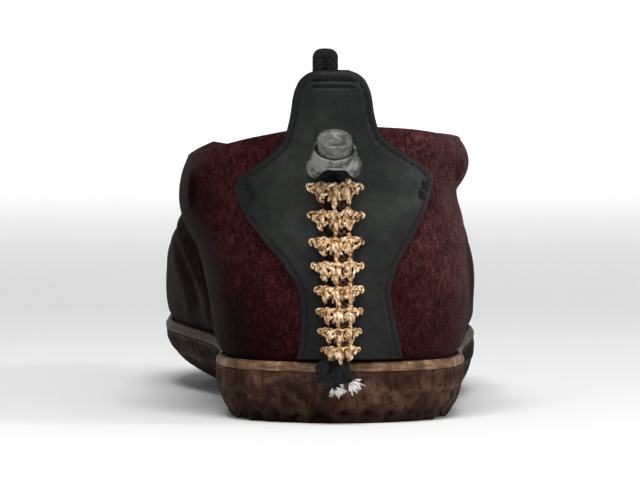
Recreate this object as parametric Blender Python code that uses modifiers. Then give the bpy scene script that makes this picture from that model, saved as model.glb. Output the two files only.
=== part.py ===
"""A slip-on moccasin, right shoe, in metres.

+Z is up, +Y points to the toe and +X to the wearer's right, the outer side. The origin is
the middle of the heel's flat spot on the ground.

A closed outline gives the sole. The upper is a shell of meridians that start on the sole's
outline and end on the collar, so that it is open at the collar and underneath. Loops of
points run from the back of the heel along the inner side to the toe, and back along the
outer side.
"""

import math

import bmesh
import bpy
import numpy as np

# Main sizes
LENGTH = 0.284
BALL_WIDTH = 0.1016
HEEL_SETBACK = 0.038
GAP = 0.0003

# Sole
SOLE_HEIGHT_HEEL = 0.0164
SOLE_HEIGHT_BALL = 0.0186
TOE_SPRING = 0.012
TOE_SPRING_FROM = 0.70
ARCH_RISE = 0.0034
ARCH_AT = 0.40
ARCH_REACH = 0.13
HEEL_SIDE_TO = 0.25
FOREFOOT_SIDE_FROM = 0.55
FACET_DEPTH = 0.0014
FACET_FOOT = 0.12
FACET_HEAD = 0.52
FACET_STEP = 0.62
SOLE_COLUMNS = 148
GROOVE_WIDTH = 0.0042
GROOVE_DEPTH = 0.0024
GROOVE_BOW = 0.010
NOTCH_WIDTH = 0.0048
NOTCH_LENGTH = 0.024

# Tan band on top of the outsole
RIM_HEIGHT = 0.0029
RIM_WIDTH = 0.0025
RIM_PROUD = 0.0003

# Insole
INSOLE_THICKNESS = 0.0036
INSOLE_CUP = 0.0022

# Upper
WALL = 0.0022
TUCK = 0.0028
TUCK_HEIGHT = 0.0022
INSTEP_HEIGHT = 0.080
COLLAR_BACK_HEIGHT = 0.0925
COLLAR_BACK = 0.007
COLLAR_FRONT = 0.119
COLLAR_HALF_WIDTH = 0.0420
COLLAR_SHIFT = -0.0040
COLLAR_SQUARENESS = 2.3
COLLAR_INNER_DROP = 0.0102
COLLAR_OUTER_DROP = 0.0046
ROLL_HEIGHT = 0.0150
ROLL_PROUD = 0.0039
ROLL_INNER_SPREAD = 1.9
PINCH_DEPTH = 0.0012
ROLL_CLEAR = 0.0030
ROLL_FADE = 0.0080
RIM_ROUND = 0.0016
UPPER_COLUMNS = 72
HEEL_CROWDING = 0.32
FOOT_CROWDING = 1.45
BODY_ROWS = 10
ROLL_ROWS = 4

# Heel patch and its pull tab
PATCH_GAP = 0.0004
PATCH_THICKNESS = 0.0020
PATCH_FOOT = SOLE_HEIGHT_HEEL + RIM_HEIGHT + 0.0013
TAB_TOP = COLLAR_BACK_HEIGHT + 0.0195
TAB_LEAVES = COLLAR_BACK_HEIGHT - 0.0085
TAB_FREE = COLLAR_BACK_HEIGHT + 0.0005
TAB_RADIUS = 0.060
TAB_LEAN = -0.0010
SPINE_FOOT_X = 0.0018
SPINE_TOP_X = -0.0036
SPINE_SETTLES = 0.60
WING_SKEW = 0.0013
WING_AT = 0.72
WING_REACH = 0.14
PATCH_ROWS = 22
PATCH_ACROSS = 10

# Lacing
LACE_DIAMETER = 0.0017
LACE_ROWS = 8
LACE_TOP = COLLAR_BACK_HEIGHT - 0.0192
LACE_FOOT = PATCH_FOOT + 0.0022
LACE_CROWDING = 0.25
LACE_HALF_TOP = 0.0089
LACE_HALF_FOOT = 0.0060
LACE_ROW_HEIGHT = 0.0046
LACE_X_TOP = -0.0029
LACE_X_FOOT = -0.0014
CORD_DIAMETER = 0.0028
CORD_SPACING = 0.0033
LACE_POINTS = 15
STRAND_POINTS = 15

# Knot and ends
KNOT_SIZE = (0.0115, 0.0066, 0.0062)
KNOT_X = -0.0039
KNOT_Z = SOLE_HEIGHT_HEEL - 0.0002

# Cord lock
LOCK_X = -0.0036
LOCK_TILT = math.radians(32.0)
LOCK_SEAT = COLLAR_BACK_HEIGHT - 0.0067
LOCK_LENGTH = 0.0074
LOCK_FOOT_RADIUS = 0.0089
LOCK_HEAD_RADIUS = 0.0070
LOCK_WALL = 0.0013
BUTTON_RADIUS = 0.0055
BUTTON_CLEARANCE = 0.0004
BUTTON_STANDS = 0.0043
BUTTON_PRESSED = 0.0015
BUTTON_DIMPLE = 0.0009
BUTTON_TRAVEL = 0.0025
ROUND_STEPS = 18

# Pull loop
LOOP_DIAMETER = 0.0040
LOOP_TOP = TAB_TOP + 0.0066
LOOP_FOOT = TAB_TOP - 0.0120
LOOP_X = -0.0060
LOOP_SPREAD = 0.0045
LOOP_TURNS = 9


def table(columns, rows):
    """Named columns of a short table."""
    return dict(zip(columns.split(), np.array(rows, dtype=float).T))


# Sole outline: along in shares of LENGTH, across in shares of BALL_WIDTH
OUTLINE = table("along across", (
    (0.000, 0.000),
    (0.018, -0.190),
    (0.070, -0.330),
    (0.150, -0.381),
    (0.250, -0.368),
    (0.360, -0.352),
    (0.470, -0.388),
    (0.580, -0.455),
    (0.690, -0.500),
    (0.790, -0.492),
    (0.880, -0.436),
    (0.948, -0.335),
    (0.988, -0.205),
    (1.000, -0.080),
    (0.989, 0.045),
    (0.950, 0.175),
    (0.885, 0.310),
    (0.800, 0.415),
    (0.700, 0.484),
    (0.585, 0.503),
    (0.470, 0.470),
    (0.360, 0.428),
    (0.250, 0.406),
    (0.150, 0.393),
    (0.070, 0.332),
    (0.018, 0.190),
))
TOE_ROW = 13

# Side of the sole: height in shares of the side, insets in shares of SOLE_HEIGHT_HEEL at
# the heel and on the inner and the outer side of the forefoot
SOLE_SIDE = table("height heel inner outer", (
    (0.00, 0.30, 1.20, 0.50),
    (0.12, 0.22, 0.98, 0.30),
    (0.30, 0.12, 0.62, 0.15),
    (0.52, 0.04, 0.28, 0.06),
    (0.80, 0.01, 0.08, 0.01),
    (1.00, 0.00, 0.00, 0.00),
))

# Meridians: along in shares of LENGTH, landing in shares of the collar from its back to its
# front, rise, flare and reach in shares of INSTEP_HEIGHT, arrive in degrees below the level
MERIDIANS = table("along landing rise inner_flare outer_flare reach arrive", (
    (0.000, 0.0009, 0.36, 0.050, 0.050, 0.28, 86),
    (0.150, 0.3432, 0.36, 0.045, 0.056, 0.28, 86),
    (0.300, 0.6602, 0.36, 0.025, 0.044, 0.28, 78),
    (0.400, 0.7946, 0.37, 0.000, 0.010, 0.31, 62),
    (0.500, 0.8605, 0.36, -0.060, 0.010, 0.36, 46),
    (0.650, 0.9315, 0.34, -0.030, 0.025, 0.58, 27),
    (0.800, 0.9746, 0.33, 0.030, 0.045, 0.92, 20),
    (1.000, 1.0000, 0.33, 0.040, 0.040, 1.12, 17),
))

# Half width of the heel patch: height in shares of TAB_TOP, half in shares of BALL_WIDTH
PATCH_SHAPE = table("height half", (
    (0.184, 0.166),
    (0.270, 0.149),
    (0.366, 0.142),
    (0.440, 0.173),
    (0.518, 0.236),
    (0.600, 0.303),
    (0.674, 0.334),
    (0.715, 0.300),
    (0.750, 0.234),
    (0.785, 0.176),
    (0.815, 0.147),
    (0.870, 0.130),
    (0.928, 0.120),
    (0.966, 0.104),
    (0.988, 0.080),
    (1.000, 0.048),
))

# One lacing row: across in shares of its half width, drop in shares of LACE_ROW_HEIGHT,
# lift in shares of the way from the patch to the top of the two strands
LACE_ROW = table("across drop lift", (
    (-1.00, 0.40, 0.00),
    (-0.80, 0.30, 0.10),
    (-0.55, -0.42, 0.58),
    (-0.34, 0.10, 0.95),
    (-0.24, 0.42, 1.00),
    (-0.13, 0.05, 1.00),
    (0.00, -0.60, 1.00),
    (0.13, 0.05, 1.00),
    (0.24, 0.42, 1.00),
    (0.34, 0.10, 0.95),
    (0.55, -0.42, 0.58),
    (0.80, 0.30, 0.10),
    (1.00, 0.40, 0.00),
))

# Grooves across the sole and notches in its heel and toe: shares of LENGTH and BALL_WIDTH
GROOVES_ALONG = (0.075, 0.185, 0.245, 0.545, 0.610, 0.740, 0.805, 0.870)
HEEL_NOTCHES_ACROSS = (-0.165, 0.285)

# Heads of the two strands: drop below the lock's seat and lift off the patch
STRAND_HEAD = table("drop lift", (
    (0.0022, 0.0034),
    (0.0046, 0.0018),
    (0.0070, 0.0004),
    (0.0123, 0.0000),
))

# Cord ends: across from the knot, and drop below it
CORD_ENDS = {
    "cord_end_medial": ((0.0004, 0.0), (0.0010, -0.0020), (0.0016, -0.0038)),
    "cord_end_lateral": ((0.0051, 0.0015), (0.0066, -0.0002), (0.0080, -0.0020)),
}


def smooth(at, xs, ys):
    """A smooth curve through the rows of a table, without overshoot."""
    at = np.clip(at, xs[0], xs[-1])
    steps = np.diff(xs)
    rises = np.diff(ys) / steps
    slopes = np.zeros(len(xs))
    same = rises[:-1] * rises[1:] > 0
    before = np.where(same, rises[:-1], 1.0)
    after = np.where(same, rises[1:], 1.0)
    slopes[1:-1] = np.where(same, 2.0 / (1.0 / before + 1.0 / after), 0.0)
    slopes[0] = rises[0]
    slopes[-1] = rises[-1]
    row = np.clip(np.searchsorted(xs, at, side="right") - 1, 0, len(steps) - 1)
    share = (at - xs[row]) / steps[row]
    rest = 1.0 - share
    value = rest * rest * ((1.0 + 2.0 * share) * ys[row] + share * steps[row] * slopes[row])
    far = share * share * ((3.0 - 2.0 * share) * ys[row + 1] - rest * steps[row] * slopes[row + 1])
    return value + far


def look_up(name, at):
    """A column of the meridian table at a share of the length."""
    return smooth(at, MERIDIANS["along"], MERIDIANS[name])


def ease(share):
    """0 to 1 with level ends."""
    share = np.clip(share, 0.0, 1.0)
    return share * share * (3.0 - 2.0 * share)


def through(points, count):
    """Evenly spaced points on a smooth open curve through the given points."""
    points = np.array(points, dtype=float)
    ends = np.vstack((2 * points[0] - points[1], points, 2 * points[-1] - points[-2]))
    dense = []
    for row in range(len(points) - 1):
        a, b, c, d = ends[row:row + 4]
        for share in np.linspace(0.0, 1.0, 12, endpoint=row == len(points) - 2):
            bend = (2 * a - 5 * b + 4 * c - d) * share**2 + (3 * b - a - 3 * c + d) * share**3
            dense.append(0.5 * (2 * b + (c - a) * share + bend))
    return evenly(np.array(dense), count)


def evenly(points, count, crowding=0.0):
    """The same path with even spacing, or with points crowded towards its start."""
    steps = np.linalg.norm(np.diff(points, axis=0), axis=1)
    run = np.concatenate(([0.0], np.cumsum(steps)))
    share = np.linspace(0.0, 1.0, count)
    marks = run[-1] * (share - crowding / math.pi * np.sin(math.pi * share))
    return np.column_stack([np.interp(marks, run, points[:, k]) for k in range(points.shape[1])])


def level_normals(loop):
    """Outward level directions of a closed loop that starts at the heel's back."""
    along = np.roll(loop, -1, axis=0) - np.roll(loop, 1, axis=0)
    along /= np.linalg.norm(along, axis=1)[:, None]
    return np.column_stack((-along[:, 1], along[:, 0]))


def sole_outline(count, crowding=0.0):
    """x and distance from the heel's back, spaced alike along each side."""
    rows = np.column_stack((OUTLINE["across"] * BALL_WIDTH, OUTLINE["along"] * LENGTH))
    wrapped = np.vstack((rows[-2:], rows, rows[:3]))
    spans = len(wrapped) - 1
    dense = through(wrapped, spans * 40 + 1)
    back = np.argmin(np.hypot(*(dense[:spans * 20] - rows[0]).T))
    toe = np.argmin(np.hypot(*(dense - rows[TOE_ROW]).T))
    again = spans * 20 + np.argmin(np.hypot(*(dense[spans * 20:] - rows[0]).T))
    inner = evenly(dense[back:toe + 1], count // 2 + 1, crowding)
    outer = evenly(dense[toe:again + 1][::-1], count // 2 + 1, crowding)[::-1]
    return np.vstack((inner[:-1], outer[:-1]))


def ground(share):
    """Height of the sole's underside at a share of the length."""
    arch = ARCH_RISE * np.cos(np.clip((share - ARCH_AT) / ARCH_REACH, -1, 1) * math.pi / 2) ** 2
    spring = np.clip((share - TOE_SPRING_FROM) / (1.0 - TOE_SPRING_FROM), 0.0, None)
    return arch + TOE_SPRING * spring**2


def deck(share):
    """Height of the outsole's top at a share of the length."""
    grows = ease((share - 0.20) / 0.45) * (SOLE_HEIGHT_BALL - SOLE_HEIGHT_HEEL)
    spring = np.clip((share - TOE_SPRING_FROM) / (1.0 - TOE_SPRING_FROM), 0.0, None)
    return SOLE_HEIGHT_HEEL + grows + 0.9 * TOE_SPRING * spring**2


def stand(loop, heights):
    """Points of a level loop at given heights, in the part's frame."""
    return np.column_stack((loop[:, 0], loop[:, 1] - HEEL_SETBACK, heights))


def mesh_object(name, points, faces, collection):
    """An object of hand-lofted faces, closed and facing out."""
    mesh = bpy.data.meshes.new(name)
    mesh.from_pydata([tuple(p) for p in points], [], faces)
    shape = bmesh.new()
    shape.from_mesh(mesh)
    bmesh.ops.recalc_face_normals(shape, faces=shape.faces)
    shape.to_mesh(mesh)
    shape.free()
    piece = bpy.data.objects.new(name, mesh)
    collection.objects.link(piece)
    return piece


def ring_faces(rings, count, closed):
    """Quads between successive loops of count points each."""
    faces = []
    for ring in range(rings if closed else rings - 1):
        here = ring * count
        above = (ring + 1) % rings * count
        for k in range(count):
            after = (k + 1) % count
            faces.append((here + k, here + after, above + after, above + k))
    return faces


def cap_faces(start, count):
    """Quads from the inner to the outer side of one loop."""
    half = count // 2
    faces = [(start, start + 1, start + count - 1)]
    for k in range(1, half - 1):
        faces.append((start + k, start + k + 1, start + count - k - 1, start + count - k))
    faces.append((start + half - 1, start + half, start + half + 1))
    return faces


def slab_faces(rows, across):
    """Faces of two grids, one over the other, joined round their edges."""
    size = rows * across
    faces = []
    for i in range(rows - 1):
        for k in range(across - 1):
            here = i * across + k
            quad = (here, here + 1, here + across + 1, here + across)
            faces.append(quad)
            faces.append(tuple(size + v for v in reversed(quad)))
    edge = [k for k in range(across)]
    edge += [i * across + across - 1 for i in range(1, rows)]
    edge += [(rows - 1) * across + k for k in range(across - 2, -1, -1)]
    edge += [i * across for i in range(rows - 2, 0, -1)]
    for a, b in zip(edge, edge[1:] + edge[:1]):
        faces.append((a, b, size + b, size + a))
    return faces


def material(name, colour, roughness, metallic=0.0):
    """A plain finish."""
    finish = bpy.data.materials.new(name)
    finish.use_nodes = True
    shader = finish.node_tree.nodes["Principled BSDF"]
    shader.inputs["Base Color"].default_value = (*colour, 1.0)
    shader.inputs["Roughness"].default_value = roughness
    shader.inputs["Metallic"].default_value = metallic
    finish.diffuse_color = (*colour, 1.0)
    return finish


def dress(piece, finish, round_shape=True):
    """Gives a piece its finish and shading."""
    piece.data.materials.append(finish)
    if round_shape:
        piece.data.shade_smooth()
        piece.data.set_sharp_from_angle(angle=math.radians(35.0))


# Outsole

def side_inset(height, outline):
    """How far the sole's side stands in from the outline."""
    heel, inner, outer = (
        smooth(height, SOLE_SIDE["height"], SOLE_SIDE[name]) for name in ("heel", "inner", "outer")
    )
    forefoot = inner + (outer - inner) * ease(outline[:, 0] / BALL_WIDTH + 0.5)
    front = ease((outline[:, 1] / LENGTH - HEEL_SIDE_TO) / (FOREFOOT_SIDE_FROM - HEEL_SIDE_TO))
    return (heel + (forefoot - heel) * front) * SOLE_HEIGHT_HEEL


def side_ring(outline, normals, height, pushed_in):
    """One loop on the side of the sole."""
    inset = side_inset(height, outline) + pushed_in
    loop = outline - normals * inset[:, None]
    low = ground(loop[:, 1] / LENGTH)
    return stand(loop, low + height * (deck(outline[:, 1] / LENGTH) - low))


def groove(name, along, cutters):
    """A bowed bar that cuts a groove across the underside."""
    reach = 0.62 * BALL_WIDTH
    steps = 9
    top = ground(along) + GROOVE_DEPTH
    points = []
    for k in range(steps):
        x = reach * (2.0 * k / (steps - 1) - 1.0)
        y = along * LENGTH + GROOVE_BOW * (1.0 - (x / reach) ** 2) - HEEL_SETBACK
        for dy, z in ((-1, -GROOVE_DEPTH), (1, -GROOVE_DEPTH), (1, top), (-1, top)):
            points.append((x, y + dy * GROOVE_WIDTH / 2, z))
    faces = ring_faces(steps, 4, False)
    faces += [(0, 1, 2, 3), tuple(len(points) - k for k in (1, 2, 3, 4))]
    return mesh_object(name, points, faces, cutters)


def notch(name, across, cutters):
    """A short bar that cuts a notch along the back edge of the heel."""
    bpy.ops.mesh.primitive_cube_add(size=1.0)
    bar = bpy.context.object
    bar.name = name
    bar.dimensions = (NOTCH_WIDTH, NOTCH_LENGTH, 2 * GROOVE_DEPTH)
    bar.location = (across * BALL_WIDTH, -HEEL_SETBACK, 0.0)
    bpy.ops.object.transform_apply(location=False, rotation=False, scale=True)
    for old in list(bar.users_collection):
        old.objects.unlink(bar)
    cutters.objects.link(bar)
    return bar


def outsole(parts, cutters, finish):
    """The rubber sole: lugs underneath, facets round the side."""
    outline = sole_outline(SOLE_COLUMNS)
    normals = level_normals(outline)
    odd = np.arange(SOLE_COLUMNS) % 2
    flat = np.zeros(SOLE_COLUMNS)
    rings = [
        side_ring(outline, normals, 0.0, flat),
        side_ring(outline, normals, FACET_FOOT, FACET_DEPTH * (1 - odd)),
        side_ring(outline, normals, FACET_HEAD, FACET_DEPTH * odd),
        side_ring(outline, normals, FACET_STEP, flat),
        side_ring(outline, normals, 1.0, flat),
    ]
    faces = cap_faces(0, SOLE_COLUMNS)
    for quad in ring_faces(len(rings), SOLE_COLUMNS, False):
        if SOLE_COLUMNS <= quad[0] < 2 * SOLE_COLUMNS:
            a, b, c, d = quad
            faces += [(a, b, c), (a, c, d)] if a % 2 else [(b, c, d), (b, d, a)]
        else:
            faces.append(quad)
    faces += cap_faces((len(rings) - 1) * SOLE_COLUMNS, SOLE_COLUMNS)
    sole = mesh_object("outsole", np.vstack(rings), faces, parts)
    bars = [groove(f"groove_{k}", a, cutters) for k, a in enumerate(GROOVES_ALONG)]
    bars += [notch(f"notch_{k}", a, cutters) for k, a in enumerate(HEEL_NOTCHES_ACROSS)]
    for bar in bars:
        bar.hide_render = True
        bar.display_type = "WIRE"
        cut = sole.modifiers.new(bar.name, "BOOLEAN")
        cut.operation = "DIFFERENCE"
        cut.object = bar
    dress(sole, finish, False)
    return sole


# Band and insole

def rim(parts, finish):
    """The thin band that lies on the outsole's edge."""
    outline = sole_outline(UPPER_COLUMNS)
    normals = level_normals(outline)
    low = deck(outline[:, 1] / LENGTH) + GAP
    corners = (
        (RIM_WIDTH, 0.0),
        (-0.3 * RIM_PROUD, 0.0),
        (-RIM_PROUD, 0.5 * RIM_HEIGHT),
        (0.4 * RIM_WIDTH, RIM_HEIGHT),
        (RIM_WIDTH, RIM_HEIGHT),
    )
    rings = [stand(outline - normals * inset, low + rise) for inset, rise in corners]
    faces = ring_faces(len(rings), UPPER_COLUMNS, True)
    band = mesh_object("sole_rim", np.vstack(rings), faces, parts)
    dress(band, finish)
    return band


def insole(parts, finish):
    """The footbed inside the upper, cupped at its edge."""
    outline = sole_outline(UPPER_COLUMNS)
    normals = level_normals(outline)
    low = deck(outline[:, 1] / LENGTH) + GAP
    edge = TUCK + WALL + 2 * GAP
    corners = (
        (edge, 0.0),
        (edge, INSOLE_THICKNESS + INSOLE_CUP),
        (edge + INSOLE_THICKNESS, INSOLE_THICKNESS + 0.4 * INSOLE_CUP),
        (edge + 3 * INSOLE_THICKNESS, INSOLE_THICKNESS),
    )
    rings = [stand(outline - normals * inset, low + rise) for inset, rise in corners]
    faces = cap_faces(0, UPPER_COLUMNS)
    faces += ring_faces(len(rings), UPPER_COLUMNS, False)
    faces += cap_faces((len(rings) - 1) * UPPER_COLUMNS, UPPER_COLUMNS)
    bed = mesh_object("insole", np.vstack(rings), faces, parts)
    dress(bed, finish)
    return bed


# Upper

def collar_loop(landing, inner_side):
    """Points of the collar at shares of its reach, with their level outward directions."""
    reach = 0.5 * (COLLAR_FRONT - COLLAR_BACK)
    cosine = 1.0 - 2.0 * landing
    squeezed = np.sign(cosine) * np.abs(cosine) ** (COLLAR_SQUARENESS / 2)
    turn = np.arccos(squeezed)
    side = np.where(inner_side, -1.0, 1.0)
    wide = COLLAR_HALF_WIDTH * np.sin(turn) ** (2 / COLLAR_SQUARENESS)
    centred = COLLAR_SHIFT * ease(4.0 * landing)
    x = side * wide + centred
    falls = COLLAR_BACK_HEIGHT - INSTEP_HEIGHT
    drop = np.where(inner_side, COLLAR_INNER_DROP, COLLAR_OUTER_DROP)
    sides = drop * np.sin(turn) ** 2
    front = falls * ease((turn / math.pi - 0.45) / 0.55)
    z = COLLAR_BACK_HEIGHT - np.maximum(sides, front) - 0.35 * np.minimum(sides, front)
    lean = 1.0 / COLLAR_HALF_WIDTH
    out = np.column_stack((side * np.sin(turn) * lean, -np.cos(turn) / reach))
    out /= np.linalg.norm(out, axis=1)[:, None]
    return np.column_stack((x, COLLAR_BACK + 2.0 * reach * landing, z)), out


def meridians(count, samples=60, tuck_depth=TUCK):
    """Dense points of the upper's base surface, count meridians of samples points."""
    outline = sole_outline(count, HEEL_CROWDING)
    normals = level_normals(outline)
    share = outline[:, 1] / LENGTH
    inner_side = np.arange(count) <= count // 2
    foot = np.column_stack((outline, deck(share) + RIM_HEIGHT + 2 * GAP))
    level = np.column_stack((normals, np.zeros(count)))
    up = np.array((0.0, 0.0, 1.0))
    rise = look_up("rise", share)[:, None] * INSTEP_HEIGHT
    flare = np.where(inner_side, look_up("inner_flare", share), look_up("outer_flare", share))
    flare = flare[:, None] * INSTEP_HEIGHT
    reach = look_up("reach", share)[:, None] * INSTEP_HEIGHT
    arrive = np.radians(look_up("arrive", share))[:, None]
    head, out = collar_loop(look_up("landing", share), inner_side)
    out = np.column_stack((out, np.zeros(count)))
    near = foot + up * rise + level * flare
    far = head + reach * (out * np.cos(arrive) - up * np.sin(arrive))
    t = np.linspace(0.0, 1.0, samples)[None, :, None]
    s = 1.0 - t
    curve = s**3 * foot[:, None] + 3 * s * s * t * near[:, None]
    curve = curve + 3 * s * t * t * far[:, None] + t**3 * head[:, None]
    above = np.clip(curve[:, :, 2] - foot[:, None, 2], 0.0, None)
    tuck = tuck_depth * np.exp(-above / TUCK_HEIGHT)
    return curve - level[:, None] * tuck[:, :, None]


def base_surface(count, body_rows, roll_rows):
    """The upper's base surface as a grid, its outward normals and distances to the collar."""
    dense = meridians(count)
    rows = []
    for meridian in dense:
        steps = np.linalg.norm(np.diff(meridian, axis=0), axis=1)
        run = np.concatenate(([0.0], np.cumsum(steps)))
        body = np.linspace(0.0, 1.0, body_rows + 1) ** FOOT_CROWDING * (run[-1] - ROLL_HEIGHT)
        roll = run[-1] - ROLL_HEIGHT * (1.0 - np.arange(1, roll_rows + 1) / roll_rows)
        marks = np.concatenate((body, roll))
        point = [np.interp(marks, run, meridian[:, k]) for k in range(3)]
        rows.append(np.column_stack((*point, run[-1] - marks)))
    grid = np.array(rows)
    to_collar = grid[:, :, 3]
    grid = grid[:, :, :3]
    around = np.roll(grid, -1, axis=0) - np.roll(grid, 1, axis=0)
    upward = np.gradient(grid, axis=1)
    normals = np.cross(upward, around)
    normals /= np.linalg.norm(normals, axis=2)[:, :, None]
    return grid, normals, to_collar


def spine(height):
    """x of the patch's middle line at a height."""
    share = (height - PATCH_FOOT) / (TAB_TOP - PATCH_FOOT)
    return SPINE_FOOT_X + (SPINE_TOP_X - SPINE_FOOT_X) * ease(share / SPINE_SETTLES)


def patch_half(height, side):
    """Half width of the heel patch at a height, along its surface: the outer wing is higher."""
    skew = WING_SKEW * np.exp(-(((height / TAB_TOP - WING_AT) / WING_REACH) ** 2))
    level = (height - side * skew) / TAB_TOP
    return BALL_WIDTH * smooth(level, PATCH_SHAPE["height"], PATCH_SHAPE["half"])


def beside_patch(grid):
    """Distance of points on the heel from the patch's edge, sideways."""
    aside = grid[:, :, 0] - spine(grid[:, :, 2])
    return np.abs(aside) - patch_half(grid[:, :, 2], np.sign(aside))


def relief(grid, to_collar):
    """How far the outer face stands out from the base surface."""
    outer_side = ease(grid[:, :, 0] / BALL_WIDTH + 0.5)
    spread = ROLL_INNER_SPREAD + (1.0 - ROLL_INNER_SPREAD) * outer_side
    q = to_collar / (ROLL_HEIGHT * spread)
    bulge = ROLL_PROUD * np.sin(np.clip(0.12 + 0.88 * q, 0.0, 1.0) * math.pi) ** 0.8
    pinch = -PINCH_DEPTH * outer_side * np.exp(-(((q - 1.15) / 0.35) ** 2))
    behind = grid[:, :, 1] < 0.14 * LENGTH
    clear = np.where(behind, ease((beside_patch(grid) - ROLL_CLEAR) / ROLL_FADE), 1.0)
    return (bulge + pinch) * clear


def shift(grid):
    """Moves points from distances along the shoe to the part's frame."""
    return grid - np.array((0.0, HEEL_SETBACK, 0.0))


def upper(parts, finish):
    """The hollow upper: outer face, rounded collar edge, inner face, open below."""
    grid, normals, to_collar = base_surface(UPPER_COLUMNS, BODY_ROWS, ROLL_ROWS)
    outer = grid + normals * relief(grid, to_collar)[:, :, None]
    inner = grid - normals * WALL
    low = deck(sole_outline(UPPER_COLUMNS, HEEL_CROWDING)[:, 1] / LENGTH) + GAP
    outer_foot = outer[:, 0].copy()
    inner_foot = inner[:, 0].copy()
    outer_foot[:, 2] = low
    inner_foot[:, :2] = outer_foot[:, :2] + (inner_foot - outer_foot)[:, :2]
    inner_foot[:, 2] = low
    up = np.array((0.0, 0.0, 1.0))
    edge = 0.5 * (outer[:, -1] + inner[:, -1]) + up * RIM_ROUND
    rings = [outer_foot]
    rings += [outer[:, k] for k in range(outer.shape[1])]
    rings += [edge]
    rings += [inner[:, k] for k in range(inner.shape[1] - 1, -1, -1)]
    rings += [inner_foot]
    faces = ring_faces(len(rings), UPPER_COLUMNS, True)
    shell = mesh_object("upper", shift(np.vstack(rings)), faces, parts)
    dress(shell, finish)
    return shell


# Heel patch

class HeelWall:
    """The back of the upper by distance across and height, for what lies on it."""

    def __init__(self, tuck_depth):
        count = 4 * UPPER_COLUMNS
        grid = meridians(count, 90, tuck_depth)
        reach = count // 9
        self.columns = np.roll(grid, reach, axis=0)[:2 * reach + 1][::-1]

    def section(self, height):
        """The wall's level section at one height, from the inner to the outer side."""
        top = COLLAR_BACK_HEIGHT - ROLL_HEIGHT / 3
        points = []
        for column in self.columns:
            level = min(height, top, column[-1, 2])
            row = [np.interp(level, column[:, 2], column[:, k]) for k in range(2)]
            points.append(row)
        return np.array(points)

    def place(self, across, height, lift):
        """The point at a distance across from x = 0, lifted off the wall."""
        line = self.section(height)
        steps = np.linalg.norm(np.diff(line, axis=0), axis=1)
        run = np.concatenate(([0.0], np.cumsum(steps)))
        behind = slice(len(line) // 4, -len(line) // 4)
        start = np.interp(0.0, line[behind, 0], run[behind])
        mark = start + across
        x = np.interp(mark, run, line[:, 0])
        y = np.interp(mark, run, line[:, 1])
        before = mark - 0.001
        after = mark + 0.001
        dx = np.interp(after, run, line[:, 0]) - np.interp(before, run, line[:, 0])
        dy = np.interp(after, run, line[:, 1]) - np.interp(before, run, line[:, 1])
        size = math.hypot(dx, dy)
        return np.array((x + lift * dy / size, y - lift * dx / size, height))

    def leaf(self, across, height, lift):
        """The same on the free tab, which flattens as it rises past the collar."""
        root = self.place(0.0, COLLAR_BACK_HEIGHT, 0.0)
        back = root[1] + TAB_LEAN * ease((height - TAB_FREE) / (TAB_TOP - TAB_FREE))
        bend = math.asin(max(-1.0, min(1.0, across / TAB_RADIUS)))
        x = (TAB_RADIUS + lift) * math.sin(bend)
        y = back + TAB_RADIUS - (TAB_RADIUS + lift) * math.cos(bend)
        return np.array((x, y, height))

    def at(self, across, height, lift):
        """On the wall below the collar, on the tab above it, and smoothly between."""
        blend = float(ease((height - TAB_LEAVES) / (TAB_FREE - TAB_LEAVES)))
        if blend <= 0.0:
            return self.place(across, height, lift)
        free = self.leaf(across, height, lift)
        if blend >= 1.0:
            return free
        return (1.0 - blend) * self.place(across, height, lift) + blend * free


def heel_patch(wall, parts, finish):
    """The leaf-shaped overlay with its pull tab."""
    even = np.linspace(0.0, 1.0, PATCH_ROWS)
    shares = 0.4 * even + 0.3 * (1.0 - np.cos(math.pi * even))
    heights = PATCH_FOOT + (TAB_TOP - PATCH_FOOT) * shares
    near = []
    far = []
    for height in heights:
        middle = float(spine(height))
        for k in range(PATCH_ACROSS):
            share = 2.0 * k / (PATCH_ACROSS - 1) - 1.0
            across = middle + float(patch_half(height, np.sign(share))) * share
            near.append(wall.at(across, height, PATCH_GAP))
            far.append(wall.at(across, height, PATCH_GAP + PATCH_THICKNESS))
    points = shift(np.array(near + far))
    faces = slab_faces(PATCH_ROWS, PATCH_ACROSS)
    patch = mesh_object("heel_patch", points, faces, parts)
    dress(patch, finish)
    return patch


# Lacing, cords and loop

def tube(name, points, diameter, parts, finish, sides=2):
    """A round cord along the given points, with filled ends."""
    line = bpy.data.curves.new(name, "CURVE")
    line.dimensions = "3D"
    line.bevel_depth = diameter / 2
    line.bevel_resolution = sides
    line.use_fill_caps = True
    run = line.splines.new("POLY")
    run.points.add(len(points) - 1)
    for spot, point in zip(run.points, points):
        spot.co = (*point, 1.0)
    line.materials.append(finish)
    cord = bpy.data.objects.new(name, line)
    parts.objects.link(cord)
    return cord


def lace_x(height):
    """x of the lacing's middle line at a height."""
    share = (height - LACE_FOOT) / (LACE_TOP - LACE_FOOT)
    return LACE_X_FOOT + (LACE_X_TOP - LACE_X_FOOT) * share


def lace_height(share):
    """Height of a row of lace, from 0 at the top row to 1 at the foot: lower rows stand closer."""
    crowded = share + LACE_CROWDING * share * (1.0 - share)
    return LACE_TOP + (LACE_FOOT - LACE_TOP) * crowded


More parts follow.
